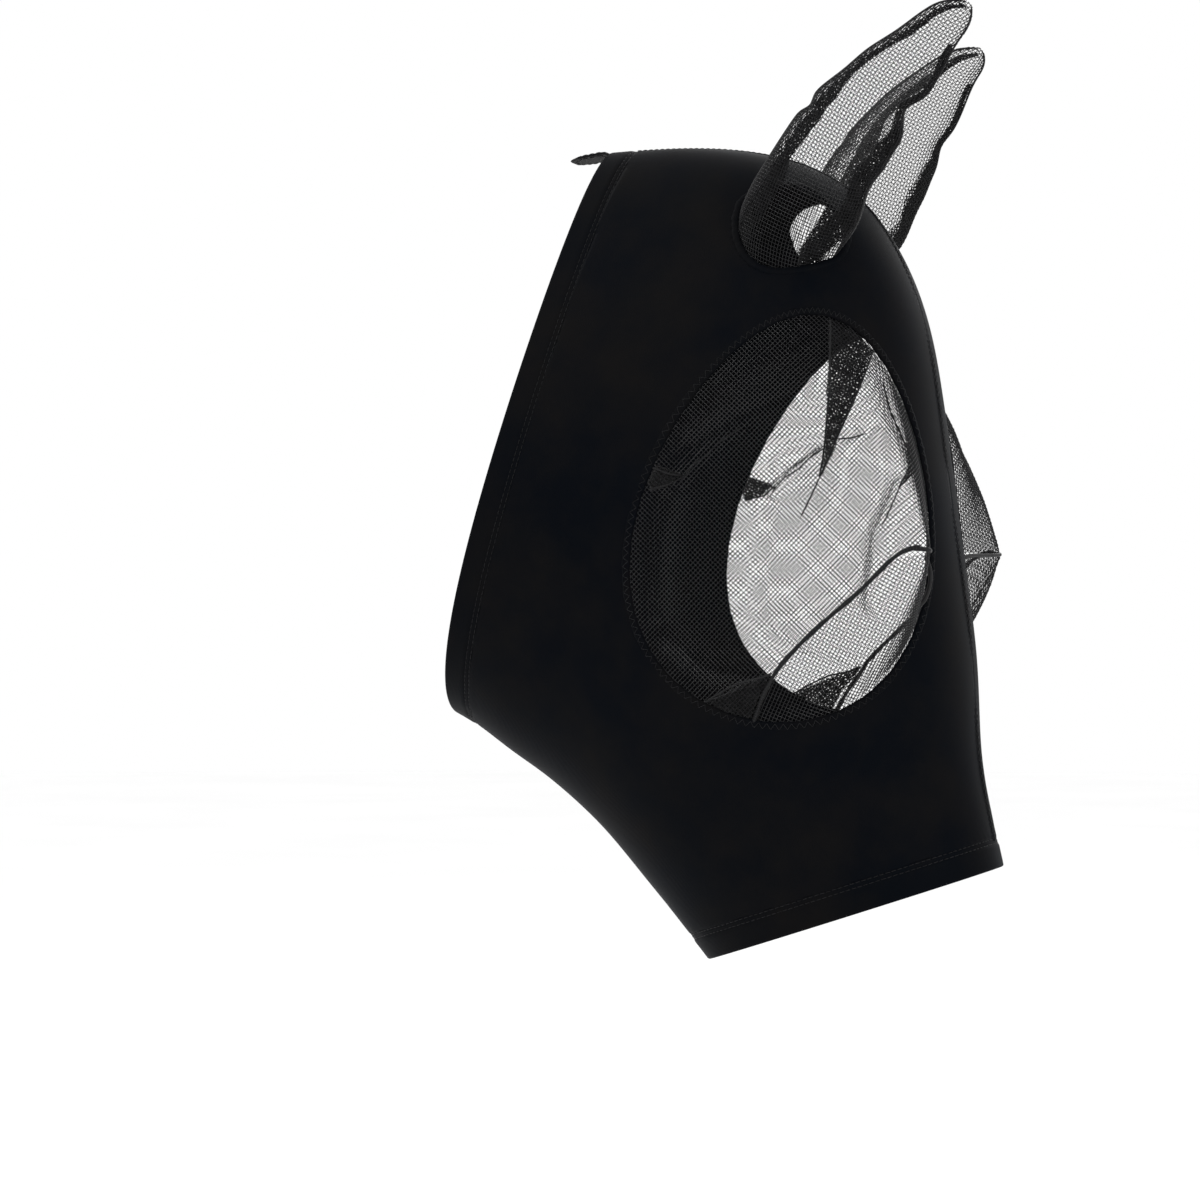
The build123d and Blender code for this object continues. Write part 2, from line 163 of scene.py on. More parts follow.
# share of the length, forward shift, inward shift, half breadth, half depth
EAR = np.array([
    (-0.19, 9, 14, 27, 26),
    (0.00, 0, 1, 29, 26),
    (0.19, -2, -4, 31, 23),
    (0.38, -5, -5, 30, 19),
    (0.56, -8, -4, 26, 14),
    (0.75, -7, -3, 20, 9),
    (0.89, -4, -2, 13, 5.5),
    (0.98, 0, -2, 5, 3),
    (1.00, 1, -2, 1, 0.6),
])
EAR_FOOT, EAR_TOP = -0.19, 0.98    # shares of the length
EAR_LENS = 1.35                    # the two ear panels meet at an edge
EAR_RIM = 4.5                      # width of the cloth's rolled edge
EAR_NET_TURN = radians(15.0)
# tucks in the ears' edges: share of the length, depth, reach, 1 front or -1 rear
EAR_TUCKS = [(0.41, -2.6, 0.03, -1), (0.58, -3.4, 0.10, -1), (0.76, -4.6, 0.12, -1),
             (0.33, -5.5, 0.09, 1), (0.46, -1.6, 0.05, 1), (0.60, -7.0, 0.055, 1)]
LEFT_TUCKS = 0.35                  # the left ear is fuller
SEAM_START, SEAM_END, FRONT_SEAM_END = -0.18, 0.985, 0.86
# seam allowances: share of the length, distance from the edge, width
SEAM_REAR = np.array([(-0.19, 16, 12), (0.10, 18, 12), (0.30, 16, 11), (0.48, 11, 8),
                      (0.60, 7.5, 5), (0.75, 6.5, 4.5), (0.90, 5, 4.5), (1.0, 4, 4)])
SEAM_FRONT = np.array([(-0.19, 8, 11), (0.08, 7, 13), (0.20, 1.8, 16), (0.38, 1.6, 14),
                       (0.50, 1.4, 8), (0.62, 1.2, 3.6), (0.85, 1.2, 2.6), (1.0, 1.2, 2.6)])


# ---- shape maths ----
def smooth(table, column, x):
    """Natural cubic spline through one column of a table."""
    xs, ys = table[:, 0], table[:, column]
    n, step = len(xs), np.diff(xs)
    system, right = np.eye(n), np.zeros(n)
    for i in range(1, n - 1):
        system[i, i - 1:i + 2] = step[i - 1], 2 * (step[i - 1] + step[i]), step[i]
        right[i] = 6 * ((ys[i + 1] - ys[i]) / step[i] - (ys[i] - ys[i - 1]) / step[i - 1])
    bend = np.linalg.solve(system, right)
    i = np.clip(np.searchsorted(xs, x) - 1, 0, n - 2)
    t, h = x - xs[i], step[i]
    first = (ys[i + 1] - ys[i]) / h - h * (2 * bend[i] + bend[i + 1]) / 6
    return ys[i] + t * (first + t * (bend[i] / 2 + t * (bend[i + 1] - bend[i]) / (6 * h)))


def smooth_line(points, at):
    """Smooth line through points, read at places counted in points."""
    table = np.column_stack([np.arange(len(points)), points])
    return np.stack([smooth(table, column, at) for column in range(1, table.shape[1])], -1)


def power(values, exponent):
    """A power that keeps the sign."""
    return np.sign(values) * np.abs(values) ** exponent


def section(angle):
    """Throat radius, crest radius, half width, fullness and lean at a fan angle."""
    return [smooth(HEAD, column, np.clip(angle, FAN_START, FAN_END)) for column in range(1, 6)]


def head_point(angle, turn, extra=0.0):
    """Point of the right half of the head form; turn is 0 at the crest, pi at the throat."""
    low, high, width, full, lean = section(angle)
    up = power(np.cos(turn), 2 / full)
    side = np.clip(np.sin(turn), 0, 1) ** (2 / full)
    radius = (low + high) / 2 + ((high - low) / 2 + extra) * up
    a = np.radians(angle)
    return np.stack(np.broadcast_arrays(
        FAN_X + radius * np.sin(a), -(width + extra) * side * (1 + lean * up),
        FAN_Z + radius * np.cos(a)), -1)


def fan(points):
    """Fan angle in degrees, and distance from the fan line."""
    x, z = points[..., 0] - FAN_X, points[..., 2] - FAN_Z
    return np.degrees(np.arctan2(x, z)), np.hypot(x, z)


def head_excess(points, extra=0.0):
    """Above 0 outside the head form, below 0 inside it."""
    angle, radius = fan(points)
    low, high, width, full, lean = section(angle)
    up = (radius - (low + high) / 2) / ((high - low) / 2 + extra)
    side = np.abs(points[..., 1]) / ((width + extra) * (1 + lean * up))
    return np.abs(up) ** full + np.abs(side) ** full - 1


def from_neck(points):
    """Distance in from the neck edge."""
    x = points[..., 0] + NECK_ARC * cos(NECK_TILT)
    z = points[..., 2] - NECK_ARC * sin(NECK_TILT)
    return np.hypot(x, z) - NECK_ARC


def from_nose(points):
    """Distance in from the nose edge."""
    angle, radius = fan(points)
    return radius * np.sin(np.radians(NOSE_ANGLE - angle))


def bisect(test, low, high, steps=26):
    """Where test turns from true at low to false at high, for arrays."""
    for _ in range(steps):
        middle = (low + high) / 2
        good = test(middle)
        low = np.where(good, middle, low)
        high = np.where(good, high, middle)
    return low


def unit(vectors):
    return vectors / np.maximum(np.linalg.norm(vectors, axis=-1, keepdims=True), 1e-9)


def run_along(points):
    """Distance along a line at each of its points."""
    return np.concatenate([[0], np.cumsum(np.linalg.norm(np.diff(points, axis=0), axis=1))])


def read_line(at, along, rows):
    """Rows of values, given at places along a line, read at other places."""
    return np.stack([np.interp(at, along, column) for column in np.transpose(rows)], -1)


def normals(shape, u, v, step=0.4):
    """Outward normals of shape(u, v), by differences."""
    along = shape(u + step, v) - shape(u - step, v)
    across = shape(u, v + step) - shape(u, v - step)
    return unit(np.cross(along, across))


# ---- eye dome ----
def egg_level(p, q, grow=0.0):
    """1 on the eye outline grown by grow, less inside."""
    dx, dy = p - EGG_CENTRE[0], q - EGG_CENTRE[1]
    y = (dy * TILT_COS - dx * TILT_SIN) / (EGG_HALF_HEIGHT + grow)
    width = (EGG_HALF_WIDTH + grow) * np.clip(1 + EGG_TAPER * y, 0.3, None)
    return np.hypot((dx * TILT_COS + dy * TILT_SIN) / width, y)


def egg_point(angle, grow=0.0):
    """Eye plane place on the eye outline grown by grow."""
    x = (EGG_HALF_WIDTH + grow) * np.cos(angle) * (1 + EGG_TAPER * np.sin(angle))
    y = (EGG_HALF_HEIGHT + grow) * np.sin(angle)
    return (EGG_CENTRE[0] + x * TILT_COS - y * TILT_SIN,
            EGG_CENTRE[1] + x * TILT_SIN + y * TILT_COS)


def eye_space(p, q, w):
    """Point p along the eye plane, q up it and w out from it."""
    p, q, w = np.broadcast_arrays(p, q, w)
    return EYE_CENTRE + p[..., None] * EYE_ALONG + w[..., None] * EYE_OUT + q[..., None] * UP


def eye_plane_of(points):
    away = points - EYE_CENTRE
    return away @ EYE_ALONG, away[..., 2]


def head_level(p, q, search=60.0):
    """Height of the head surface over the eye plane."""
    far = np.full(np.shape(p), search)
    return bisect(lambda w: head_excess(eye_space(p, q, w)) < 0, -far, far)


def away_from_line(p, q, line):
    """Distance from points to a line of short straight runs."""
    nearest = np.full(np.shape(p), 1e9)
    for (p0, q0), (p1, q1) in zip(line[:-1], line[1:]):
        dp, dq = p1 - p0, q1 - q0
        t = np.clip(((p - p0) * dp + (q - q0) * dq) / (dp * dp + dq * dq), 0, 1)
        nearest = np.minimum(nearest, np.hypot(p - p0 - t * dp, q - q0 - t * dq))
    return nearest


def creases(p, q):
    """Height of the loose mesh's creases, none at the rim."""
    height = np.zeros(np.shape(p))
    for line, deep, wide in CREASES:
        height = height + deep * np.exp(-(away_from_line(p, q, line) / wide) ** 2)
    inner = np.clip((1 - egg_level(p, q)) / 0.12, 0, 1)
    return height * inner


def in_polygon(p, q, corners):
    inside = np.zeros(np.shape(p), bool)
    for (p0, q0), (p1, q1) in zip(corners, corners[1:] + corners[:1]):
        crosses = (q0 > q) != (q1 > q)
        inside ^= crosses & (p < (p1 - p0) * (q - q0) / (q1 - q0 + 1e-12) + p0)
    return inside


class Cone:
    """The dome's rays from its apex, and how they lie when the mesh is flat."""
    RAYS, FAR = 721, 400.0

    def __init__(self, first, last):
        self.turn = np.radians(np.linspace(first, last, self.RAYS))
        ray = np.array([np.cos(self.turn), np.sin(self.turn)])

        def place(away):
            return APEX[0] + ray[0] * away, APEX[1] + ray[1] * away

        self.reach = bisect(lambda away: egg_level(*place(away)) < 1,
                            np.zeros(self.RAYS), np.full(self.RAYS, self.FAR))
        rim = place(self.reach)
        self.rim = head_level(*rim)
        beyond = (rim[0] + ray[0] * RIM_MIDDLE, rim[1] + ray[1] * RIM_MIDDLE)
        self.slope = (head_level(*beyond) - self.rim) / RIM_MIDDLE
        lines = eye_space(*rim, self.rim) - eye_space(*APEX, APEX_HEIGHT)
        self.long = np.linalg.norm(lines, axis=1)
        steps = np.arccos(np.clip(np.sum(unit(lines[1:]) * unit(lines[:-1]), axis=1), -1, 1))
        flat = np.concatenate([[0], np.cumsum(steps)])
        self.flat = flat - flat[-1] / 2

    def at(self, turn, *columns):
        """The rays' values in some columns, read at any turn."""
        return [np.interp(turn, self.turn, column) for column in columns]

    def level(self, turn, share):
        """Height over the eye plane on a ray, share from 0 at the apex to 1 at the rim.

        Past the rim the mesh lies flat on the head, in the rolled edge.
        """
        rim, reach, slope = self.at(turn, self.rim, self.reach, self.slope)
        full = DOME_BELLY * np.minimum(reach / BELLY_REACH, 1)
        on = np.minimum(share, 1)
        past = slope * np.maximum(share - 1, 0) * reach
        return APEX_HEIGHT + (rim - APEX_HEIGHT) * on + 4 * full * on * (1 - on) + past

    def plane(self, u, v):
        """Eye plane place of a point of the flat mesh: p, q, turn, share."""
        turn = np.interp(np.arctan2(v, u), self.flat, self.turn)
        far = np.hypot(u, v)
        long, reach, slope = self.at(turn, self.long, self.reach, self.slope)
        past = np.maximum(far - long, 0) / np.hypot(1, slope)
        away = np.minimum(far / long, 1) * reach + past
        return APEX[0] + away * np.cos(turn), APEX[1] + away * np.sin(turn), turn, away / reach

    def shape(self, u, v):
        p, q, turn, share = self.plane(u, v)
        return eye_space(p, q, self.level(turn, share) + creases(p, q))

    def lattice_turn(self, degrees_at, wanted):
        """Lattice angle in the flat that shows as wanted in the eye plane, on one ray."""
        at = radians(degrees_at)
        return wanted + self.at(at, self.flat)[0] - at

    def inside(self, u, v):
        turn = np.arctan2(v, u)
        return (turn > self.flat[0]) & (turn < self.flat[-1])


def ridge_height(p):
    """The ridge seam's line in the eye plane, q for p."""
    order = np.argsort(RIDGE[:, 0])
    return np.interp(p, RIDGE[order, 0], RIDGE[order, 1], left=-400.0)


DOME_START = -60.0                 # degrees, where the turns round the apex start
whole_dome = Cone(DOME_START, DOME_START + 360.0)


def dome_point(p, q):
    """Point of the creased dome over a point of the eye plane."""
    turn = np.arctan2(q - APEX[1], p - APEX[0])
    turn = np.where(turn < radians(DOME_START), turn + 2 * pi, turn)
    share = np.hypot(p - APEX[0], q - APEX[1]) / whole_dome.at(turn, whole_dome.reach)[0]
    return eye_space(p, q, whole_dome.level(turn, share) + creases(p, q))


# ---- ears ----
class Ear:
    """One ear's frame and the flat shape of its two panels."""
    ROWS, COLUMNS = 90, 121

    def __init__(self, label, side):
        self.label, self.side = label, side
        self.base = np.array(EAR_BASE) * (1, side, 1)
        tip = np.array(EAR_TIPS[label]) * (1, side, 1)
        self.length = np.linalg.norm(tip - self.base)
        self.up = (tip - self.base) / self.length
        ahead = unit(np.cross((0.0, -1.0, 0.0), self.up))
        self.ahead = ahead if ahead[0] > 0 else -ahead
        inward = np.cross(self.up, self.ahead)
        self.inward = inward if inward[1] * side < 0 else -inward
        self.tables = {face: self.flatten(face) for face in (-1, 1)}

    def point(self, share, turn, extra=0.0):
        """Point of the ear; turn runs once round it from the front edge, inward first."""
        ahead, inside, breadth, depth = (smooth(EAR, k, share) for k in range(1, 5))
        x = ahead + (breadth + extra) * np.cos(turn)
        tucked = 1.0 if self.label == "right" else LEFT_TUCKS
        for middle, deep, reach, end in EAR_TUCKS:
            x = x + (end * deep * tucked * np.exp(-((share - middle) / reach) ** 2)
                     * np.clip(end * np.cos(turn), 0, 1) ** 2)
        y = inside + (depth + extra) * power(np.sin(turn), EAR_LENS) + self.folds(share, turn)
        high = share * self.length
        return (self.base + high[..., None] * self.up + x[..., None] * self.ahead
                + y[..., None] * self.inward)

    def folds(self, share, turn):
        """Loose folds that run up the ear panels."""
        fade = np.clip(share * 4, 0, 1) * np.abs(np.sin(turn))
        long_fold = 2.9 * np.sin(3.1 * turn + 2.2 * share * self.side + 0.6)
        cross_fold = 1.3 * np.sin(9 * share + 2.0 * turn)
        return fade * (long_fold + cross_fold) * (1.15 - share)

    def flatten(self, face):
        """How far round each panel lies, for the inner (1) or outer (-1) one."""
        share = np.linspace(EAR_FOOT, 1.0, self.ROWS)
        turn = face * np.linspace(pi, 0.0, self.COLUMNS)
        points = self.point(share[:, None] + 0 * turn, turn + 0 * share[:, None])
        steps = np.linalg.norm(np.diff(points, axis=1), axis=2)
        round_ = np.concatenate([np.zeros((self.ROWS, 1)), np.cumsum(steps, axis=1)], axis=1)
        even = np.linspace(0, 1, self.COLUMNS)
        turns = np.array([np.interp(even, row / row[-1], turn) for row in round_])
        return share, round_[:, -1], round_[:, self.COLUMNS // 2], turns

    def place(self, face, u, v):
        """Share, turn, place round and distance round of a point of the flat panel."""
        shares, totals, middles, turns = self.tables[face]
        share = v / self.length
        row = (share - shares[0]) / (shares[1] - shares[0])
        row = np.clip(row, 0, self.ROWS - 1.001)
        i, f = row.astype(int), row % 1
        total = totals[i] * (1 - f) + totals[i + 1] * f
        middle = middles[i] * (1 - f) + middles[i + 1] * f
        column = np.clip((u + middle) / total, 0, 1) * (self.COLUMNS - 1.001)
        j, g = column.astype(int), column % 1
        low, high = (turns[k, j] * (1 - g) + turns[k, j + 1] * g for k in (i, i + 1))
        return share, low * (1 - f) + high * f, u + middle, total

    def span(self, face):
        """Box of a flat panel: lowest and highest u, lowest and highest v."""
        half = self.tables[face][1].max() * 0.6
        return -half, half, EAR_FOOT * self.length, self.length

    def shape(self, face):
        """The panel's surface, as a function of its flat places."""
        def panel(u, v):
            share, turn, _, _ = self.place(face, u, v)
            return self.point(share, turn)
        return panel

    def inside(self, face):
        """The test of whether a flat place is on the panel and outside the head."""
        def test(u, v):
            share, turn, place, total = self.place(face, u, v)
            on = (place > 0) & (place < total) & (share > SEAM_START) & (share < 0.995)
            return on & (head_excess(self.point(share, turn)) > 0)
        return test


# ---- meshes ----
def piece(name, arrays, material, nodes=(), body="hood", side=-1, thickness=0.0):
    """A piece of the mask, from points in mm and faces; side 1 mirrors it to the left.

    Its finish slot is its material's name, without the number that Blender adds. It
    It stands for CAD nodes and rides on a body. A single skin gets its thickness, inwards.
    """
    points, faces = arrays
    points = np.array(points, float)[:, :3].copy()
    faces = [list(map(int, face)) for face in faces]
    if side > 0:
        points[:, 1] *= -1
        faces = [face[::-1] for face in faces]
    used = sorted({i for face in faces for i in face})
    place = {old: new for new, old in enumerate(used)}
    mesh = bpy.data.meshes.new(name)
    mesh.from_pydata((points[used] * MM).tolist(), [], [[place[i] for i in f] for f in faces])
    mesh.materials.append(material)
    mesh.polygons.foreach_set("use_smooth", [True] * len(mesh.polygons))
    mesh.update()
    thing = bpy.data.objects.new(name, mesh)
    bpy.context.scene.collection.objects.link(thing)
    if thickness:
        thicken(thing, thickness)
    if nodes:
        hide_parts(*nodes)
    if body:
        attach(thing, body)
    return thing


def grid_faces(rows, columns, close_rows=False, close_columns=False):
    """Quads of a grid of points, in row order."""
    i = np.arange(rows if close_rows else rows - 1)[:, None] * columns
    j = np.arange(columns if close_columns else columns - 1)[None, :]
    i2, j2 = (i + columns) % (rows * columns), (j + 1) % columns
    return np.stack([i + j, i + j2, i2 + j2, i2 + j], -1).reshape(-1, 4).tolist()


def tube_faces(rows, sides, closed=False):
    """Quads of a row of rings, and its two ends unless it closes on itself."""
    faces = grid_faces(rows, sides, closed, True)
    if not closed:
        last = (rows - 1) * sides
        faces += [list(range(sides))[::-1], [last + k for k in range(sides)]]
    return faces


def clip(points, faces, column):
    """Keep the part of a mesh where one column of its points is above 0."""
    value, cuts, extra, kept = points[:, column], {}, [], []

    def crossing(a, b):
        key = (min(a, b), max(a, b))
        if key not in cuts:
            share = value[key[0]] / (value[key[0]] - value[key[1]])
            cuts[key] = len(points) + len(extra)
            extra.append(points[key[0]] + (points[key[1]] - points[key[0]]) * share)
        return cuts[key]

    for face in faces:
        inside = [value[i] > 0 for i in face]
        if not any(inside):
            continue
        ring = []
        for k, a in enumerate(face):
            b = face[(k + 1) % len(face)]
            if value[a] > 0:
                ring.append(a)
            if (value[a] > 0) != (value[b] > 0):
                ring.append(crossing(a, b))
        kept.append(ring)
    return np.vstack([points, *extra]) if extra else points, kept


def thicken(thing, thickness, offset=-1.0):
    """Give a single skin its thickness."""
    solid = thing.modifiers.new("thickness", "SOLIDIFY")
    solid.thickness = thickness * MM
    solid.offset = offset
    graph = bpy.context.evaluated_depsgraph_get()
    mesh = bpy.data.meshes.new_from_object(thing.evaluated_get(graph))
    thing.modifiers.clear()
    thing.data = mesh


def tube_arrays(points, outward, radius, sides=4, run=None, rise=None):
    """Closed tubes along a line of points, or along several that run numbers.

    rise is the half height of a tube that isn't round.
    """
    index = np.arange(len(points))
    run = 0 * index if run is None else run
    starts = np.concatenate([[True], run[1:] != run[:-1]])
    ends = np.concatenate([run[1:] != run[:-1], [True]])
    before, after = np.where(starts, index, index - 1), np.where(ends, index, index + 1)
    along = unit(points[after] - points[before])
    across = unit(np.cross(along, outward))
    third = np.cross(along, across)
    k = np.arange(sides)
    angle, k2 = 2 * pi * k / sides, (k + 1) % sides
    wide = np.reshape(radius, (-1, 1, 1))
    verts = points[:, None] + (np.cos(angle)[:, None] * across[:, None] * wide
                               + np.sin(angle)[:, None] * third[:, None] * (rise or wide))
    a = index[~ends][:, None] * sides
    quads = np.stack([a + k, a + k2, a + sides + k2, a + sides + k], -1).reshape(-1, 4)
    first, last = (index[which][:, None] * sides for which in (starts, ends))
    caps = [*(first + k[::-1]).tolist(), *(last + k).tolist()]
    return verts.reshape(-1, 3), quads.tolist() + caps


def joined(*parts):
    """One list of points and faces from several."""
    points, faces, start = [], [], 0
    for some, more in parts:
        points.append(np.asarray(some)[:, :3])
        faces.extend([[i + start for i in face] for face in more])
        start += len(some)
    return np.vstack(points), faces


EDGE_STEPS = 9                     # halvings that find where a thread ends


def net_arrays(shape, inside, span, angle, lift=0.0, pitch=PITCH, radius=THREAD):
    """Woven square net on shape(u, v) where inside(u, v) is true; span is its flat box.

    Each thread is found on a square lattice, and its ends are then moved to the edge.
    """
    centre = np.array([(span[0] + span[1]) / 2, (span[2] + span[3]) / 2])
    half = int(np.hypot(span[1] - span[0], span[3] - span[2]) / 2 / pitch) + 2
    steps = np.arange(-half, half + 1)
    parts = []
    for family in (0, 1):
        turn = angle + family * pi / 2
        along = np.array([cos(turn), sin(turn)]) * pitch
        across = np.array([-sin(turn), cos(turn)]) * pitch
        flat = centre + steps[:, None, None] * across + steps[None, :, None] * along
        good = inside(flat[..., 0], flat[..., 1])
        good[:, 0] = good[:, -1] = False
        rows, starts = np.nonzero(good[:, 1:] & ~good[:, :-1])
        _, stops = np.nonzero(good[:, :-1] & ~good[:, 1:])
        first, last = flat[rows, starts + 1], flat[rows, stops]
        before, after = flat[rows, starts], flat[rows, stops + 1]
        for end, beyond in ((first, before), (last, after)):
            for _ in range(EDGE_STEPS):
                middle = (end + beyond) / 2
                ok = inside(middle[:, 0], middle[:, 1])[:, None]
                end[:], beyond[:] = np.where(ok, middle, end), np.where(ok, beyond, middle)
        places, over, run = [], [], []
        for k, (row, start, stop) in enumerate(zip(rows, starts + 1, stops)):
            line = np.vstack([first[k], flat[row, start:stop + 1], last[k]])
            weave = np.where((row + np.arange(start, stop + 1)) % 2, 1.0, -1.0)
            places.append(line)
            over.append(np.concatenate([[0.0], weave, [0.0]]) * (1 if family else -1))
            run.append(np.full(len(line), k))
        if not places:
            continue
        places, over, run = np.vstack(places), np.concatenate(over), np.concatenate(run)
        points = shape(places[:, 0], places[:, 1])
        outward = normals(shape, places[:, 0], places[:, 1])
        points = points + outward * (over * WEAVE + lift)[:, None]
        parts.append(tube_arrays(points, outward, radius, run=run, rise=THREAD_RISE))
    return joined(*parts)


# a stitch's arch: share of its length, height in thread radii
STITCH_ARCH = [(0.0, -0.5), (0.22, 0.6), (0.5, 1.0), (0.78, 0.6), (1.0, -0.5)]


def stitch_arrays(points, outward, long=STITCH_LONG, gap=STITCH_GAP, radius=STITCH_THREAD):
    """A row of separate stitches along a close line of points."""
    away = run_along(points)
    count = int(away[-1] / (long + gap))
    pitch = away[-1] / max(count, 1)
    shares, heights = np.transpose(STITCH_ARCH)
    at = ((np.arange(count) * pitch)[:, None] + shares * (pitch - gap)).ravel()
    out = unit(read_line(at, away, outward))
    line = read_line(at, away, points) + out * (np.tile(heights, count) * radius)[:, None]
    return tube_arrays(line, out, radius, 6, np.repeat(np.arange(count), len(shares)))


def roll_arrays(centre, across, outward, wide, high, closed, wobble, sides=14):
    """A rolled edge: an ellipse carried along a line, its size changing with wobble."""
    angle = 2 * pi * np.arange(sides) / sides
    ring = (np.cos(angle)[:, None] * (across * (wide * wobble)[:, None])[:, None]
            + np.sin(angle)[:, None] * (outward * (high * wobble)[:, None])[:, None])
    return (centre[:, None] + ring).reshape(-1, 3), tube_faces(len(centre), sides, closed)


# ---- materials ----
TONE_ROUGHNESS, TONE_STOPS = 0.62, (0.36, 0.66)     # of the noise between two tones
RIB_SHARPNESS = 2.0


def add_node(tree, kind, fed_by=None, **values):
    """A new node; values set its properties or, by label, its inputs."""
    node = tree.nodes.new(kind)
    for key, value in values.items():
        if hasattr(node, key):
            setattr(node, key, value)
        else:
            node.inputs[key.replace("_", " ")].default_value = value
    for socket, source in (fed_by or {}).items():
        tree.links.new(source, node.inputs[socket])
    return node


def pattern(tree, place, kind, size, amount):
    """Heights: noise of a scale and detail, or ribs of a period in metres and distortion."""
    if kind == "noise":
        return add_node(tree, "ShaderNodeTexNoise", {"Vector": place}, Scale=size, Detail=amount)
    return add_node(tree, "ShaderNodeTexWave", {"Vector": place}, wave_type="BANDS",
                    bands_direction=kind, Scale=2 * pi / (20 * size), Distortion=amount,
                    Detail_Scale=RIB_SHARPNESS)


def surface(name, low, high, spots, drift=None, relief=(), mix="ADD", strength=1.0,
            distance=0.001, **sockets):
    """A material whose colour drifts between two tones, with uneven gloss and fine relief.

    spots is the tones' noise, drift the range of roughness, and relief the two
    patterns that mix puts together; "tones" there is the noise of the tones.
    """
    material = bpy.data.materials.new(name)
    material.use_nodes = True
    tree = material.node_tree
    shader = tree.nodes["Principled BSDF"]
    for label, value in sockets.items():
        shader.inputs[label.replace("_", " ")].default_value = value
    place = add_node(tree, "ShaderNodeTexCoord").outputs["Object"]
    tones = pattern(tree, place, "noise", *spots)
    tones.inputs["Roughness"].default_value = TONE_ROUGHNESS
    ramp = add_node(tree, "ShaderNodeValToRGB", {"Fac": tones.outputs["Fac"]})
    for stop, at, tone in zip(ramp.color_ramp.elements, TONE_STOPS, (low, high)):
        stop.position, stop.color = at, (*tone, 1)
    tree.links.new(ramp.outputs["Color"], shader.inputs["Base Color"])
    if drift:
        gloss = add_node(tree, "ShaderNodeMapRange", {"Value": tones.outputs["Fac"]},
                         To_Min=drift[0], To_Max=drift[1])
        tree.links.new(gloss.outputs["Result"], shader.inputs["Roughness"])
    if relief:
        heights = [tones if one == "tones" else pattern(tree, place, *one) for one in relief]
        both = add_node(tree, "ShaderNodeMath", {k: one.outputs["Fac"] for k, one in
                                                 enumerate(heights)}, operation=mix)
        bump = add_node(tree, "ShaderNodeBump", {"Height": both.outputs["Value"]},
                        Strength=strength, Distance=distance)
        tree.links.new(bump.outputs["Normal"], shader.inputs["Normal"])
    return material


def knit_cloth(name, low, high):
    """Matt warp knit: fine ribs, a faint cool sheen, uneven depth of black."""
    return surface(name, low, high, (16.0, 6.0), (0.54, 0.70),
                   [("DIAGONAL", 0.0006, 0.4), ("noise", 1500.0, 3.0)], "ADD", 0.22, 0.00012,
                   Roughness=0.62, Specular_IOR_Level=0.025, Sheen_Weight=0.011,
                   Sheen_Roughness=0.42, Sheen_Tint=(0.62, 0.68, 0.80, 1))


def coated_thread(name, low, high, roughness, coat):
    """Black coated yarn: a smooth skin over a slightly lumpy core."""
    return surface(name, low, high, (120.0, 3.0), (roughness - 0.08, roughness + 0.10),
                   [("noise", 900.0, 2.0), ("noise", 3200.0, 2.0)], "ADD", 0.3, 0.0001,
                   Roughness=roughness, Specular_IOR_Level=0.16, Coat_Weight=coat,
                   Coat_Roughness=0.35)


LYCRA = knit_cloth("stretch_cloth", (0.0004, 0.0009, 0.0020), (0.0027, 0.0025, 0.0026))
HEM = knit_cloth("hem_cloth", (0.0004, 0.0009, 0.0019), (0.0026, 0.0024, 0.0025))
NET = coated_thread("mesh", (0.003, 0.003, 0.0035), (0.009, 0.009, 0.010), 0.42, 0.05)
# the same coated thread in darker tones: painted shade for the folded layers of darts, pinches,
# the ridge seam and the ear seams
NET_FOLDED_SHADED = coated_thread("mesh_seam", (0.002, 0.002, 0.0025), (0.006, 0.006, 0.0065), 0.5, 0.02)
# twisted polyester sewing thread, and the plain woven tape of the poll tab
SEWING = surface("thread", (0.002, 0.002, 0.0025), (0.006, 0.006, 0.007), (200.0, 6.0), None,
                 [("DIAGONAL", 0.0004, 0.0), "tones"], "ADD", 0.5, 0.0001,
                 Roughness=0.5, Specular_IOR_Level=0.1, Sheen_Weight=0.03)
TAPE = surface("tab_web", (0.0015, 0.0015, 0.002), (0.005, 0.005, 0.0055), (90.0, 6.0),
               (0.55, 0.75), [("Y", 0.0009, 0.0), ("X", 0.0012, 0.0)], "MULTIPLY", 0.6, 0.0003,
               Roughness=0.6, Specular_IOR_Level=0.06, Sheen_Weight=0.03)


# ---- stretch hood ----
# pulls in the cloth round the eye: middle and spread in degrees, waves, height, reach
PULLS = [
    (170, 26, 15, 0.9, 22),
    (228, 16, 19, 1.0, 16),
    (12, 24, 15, 0.7, 13),
    (285, 26, 11, 0.5, 24),
    (95, 30, 11, 0.5, 18),
]
PANEL_ROWS, PANEL_COLUMNS = 230, 170    # points from neck to nose, and crest to throat


def hem_height(depth):
    """Outer height of the cloth near a hem: doubled, then drawn in by its stitches."""
    doubled = HEM_EXTRA * np.clip((HEM_MIDDLE - depth) / 4, 0, 1)
    drawn = sum(np.exp(-((depth - row) / 0.75) ** 2) for row in STITCH_ROWS)
    return CLOTH + doubled - STITCH_GROOVE * drawn


def hem_ripple(points, depth):
    """Small waves of the cloth between the rows of stitches."""
    wave = np.sin(1.05 * points[..., 1] + 0.85 * points[..., 2] + 0.4 * points[..., 0])
    return 0.13 * wave * np.exp(-((depth - HEM_MIDDLE) / 4.5) ** 2)


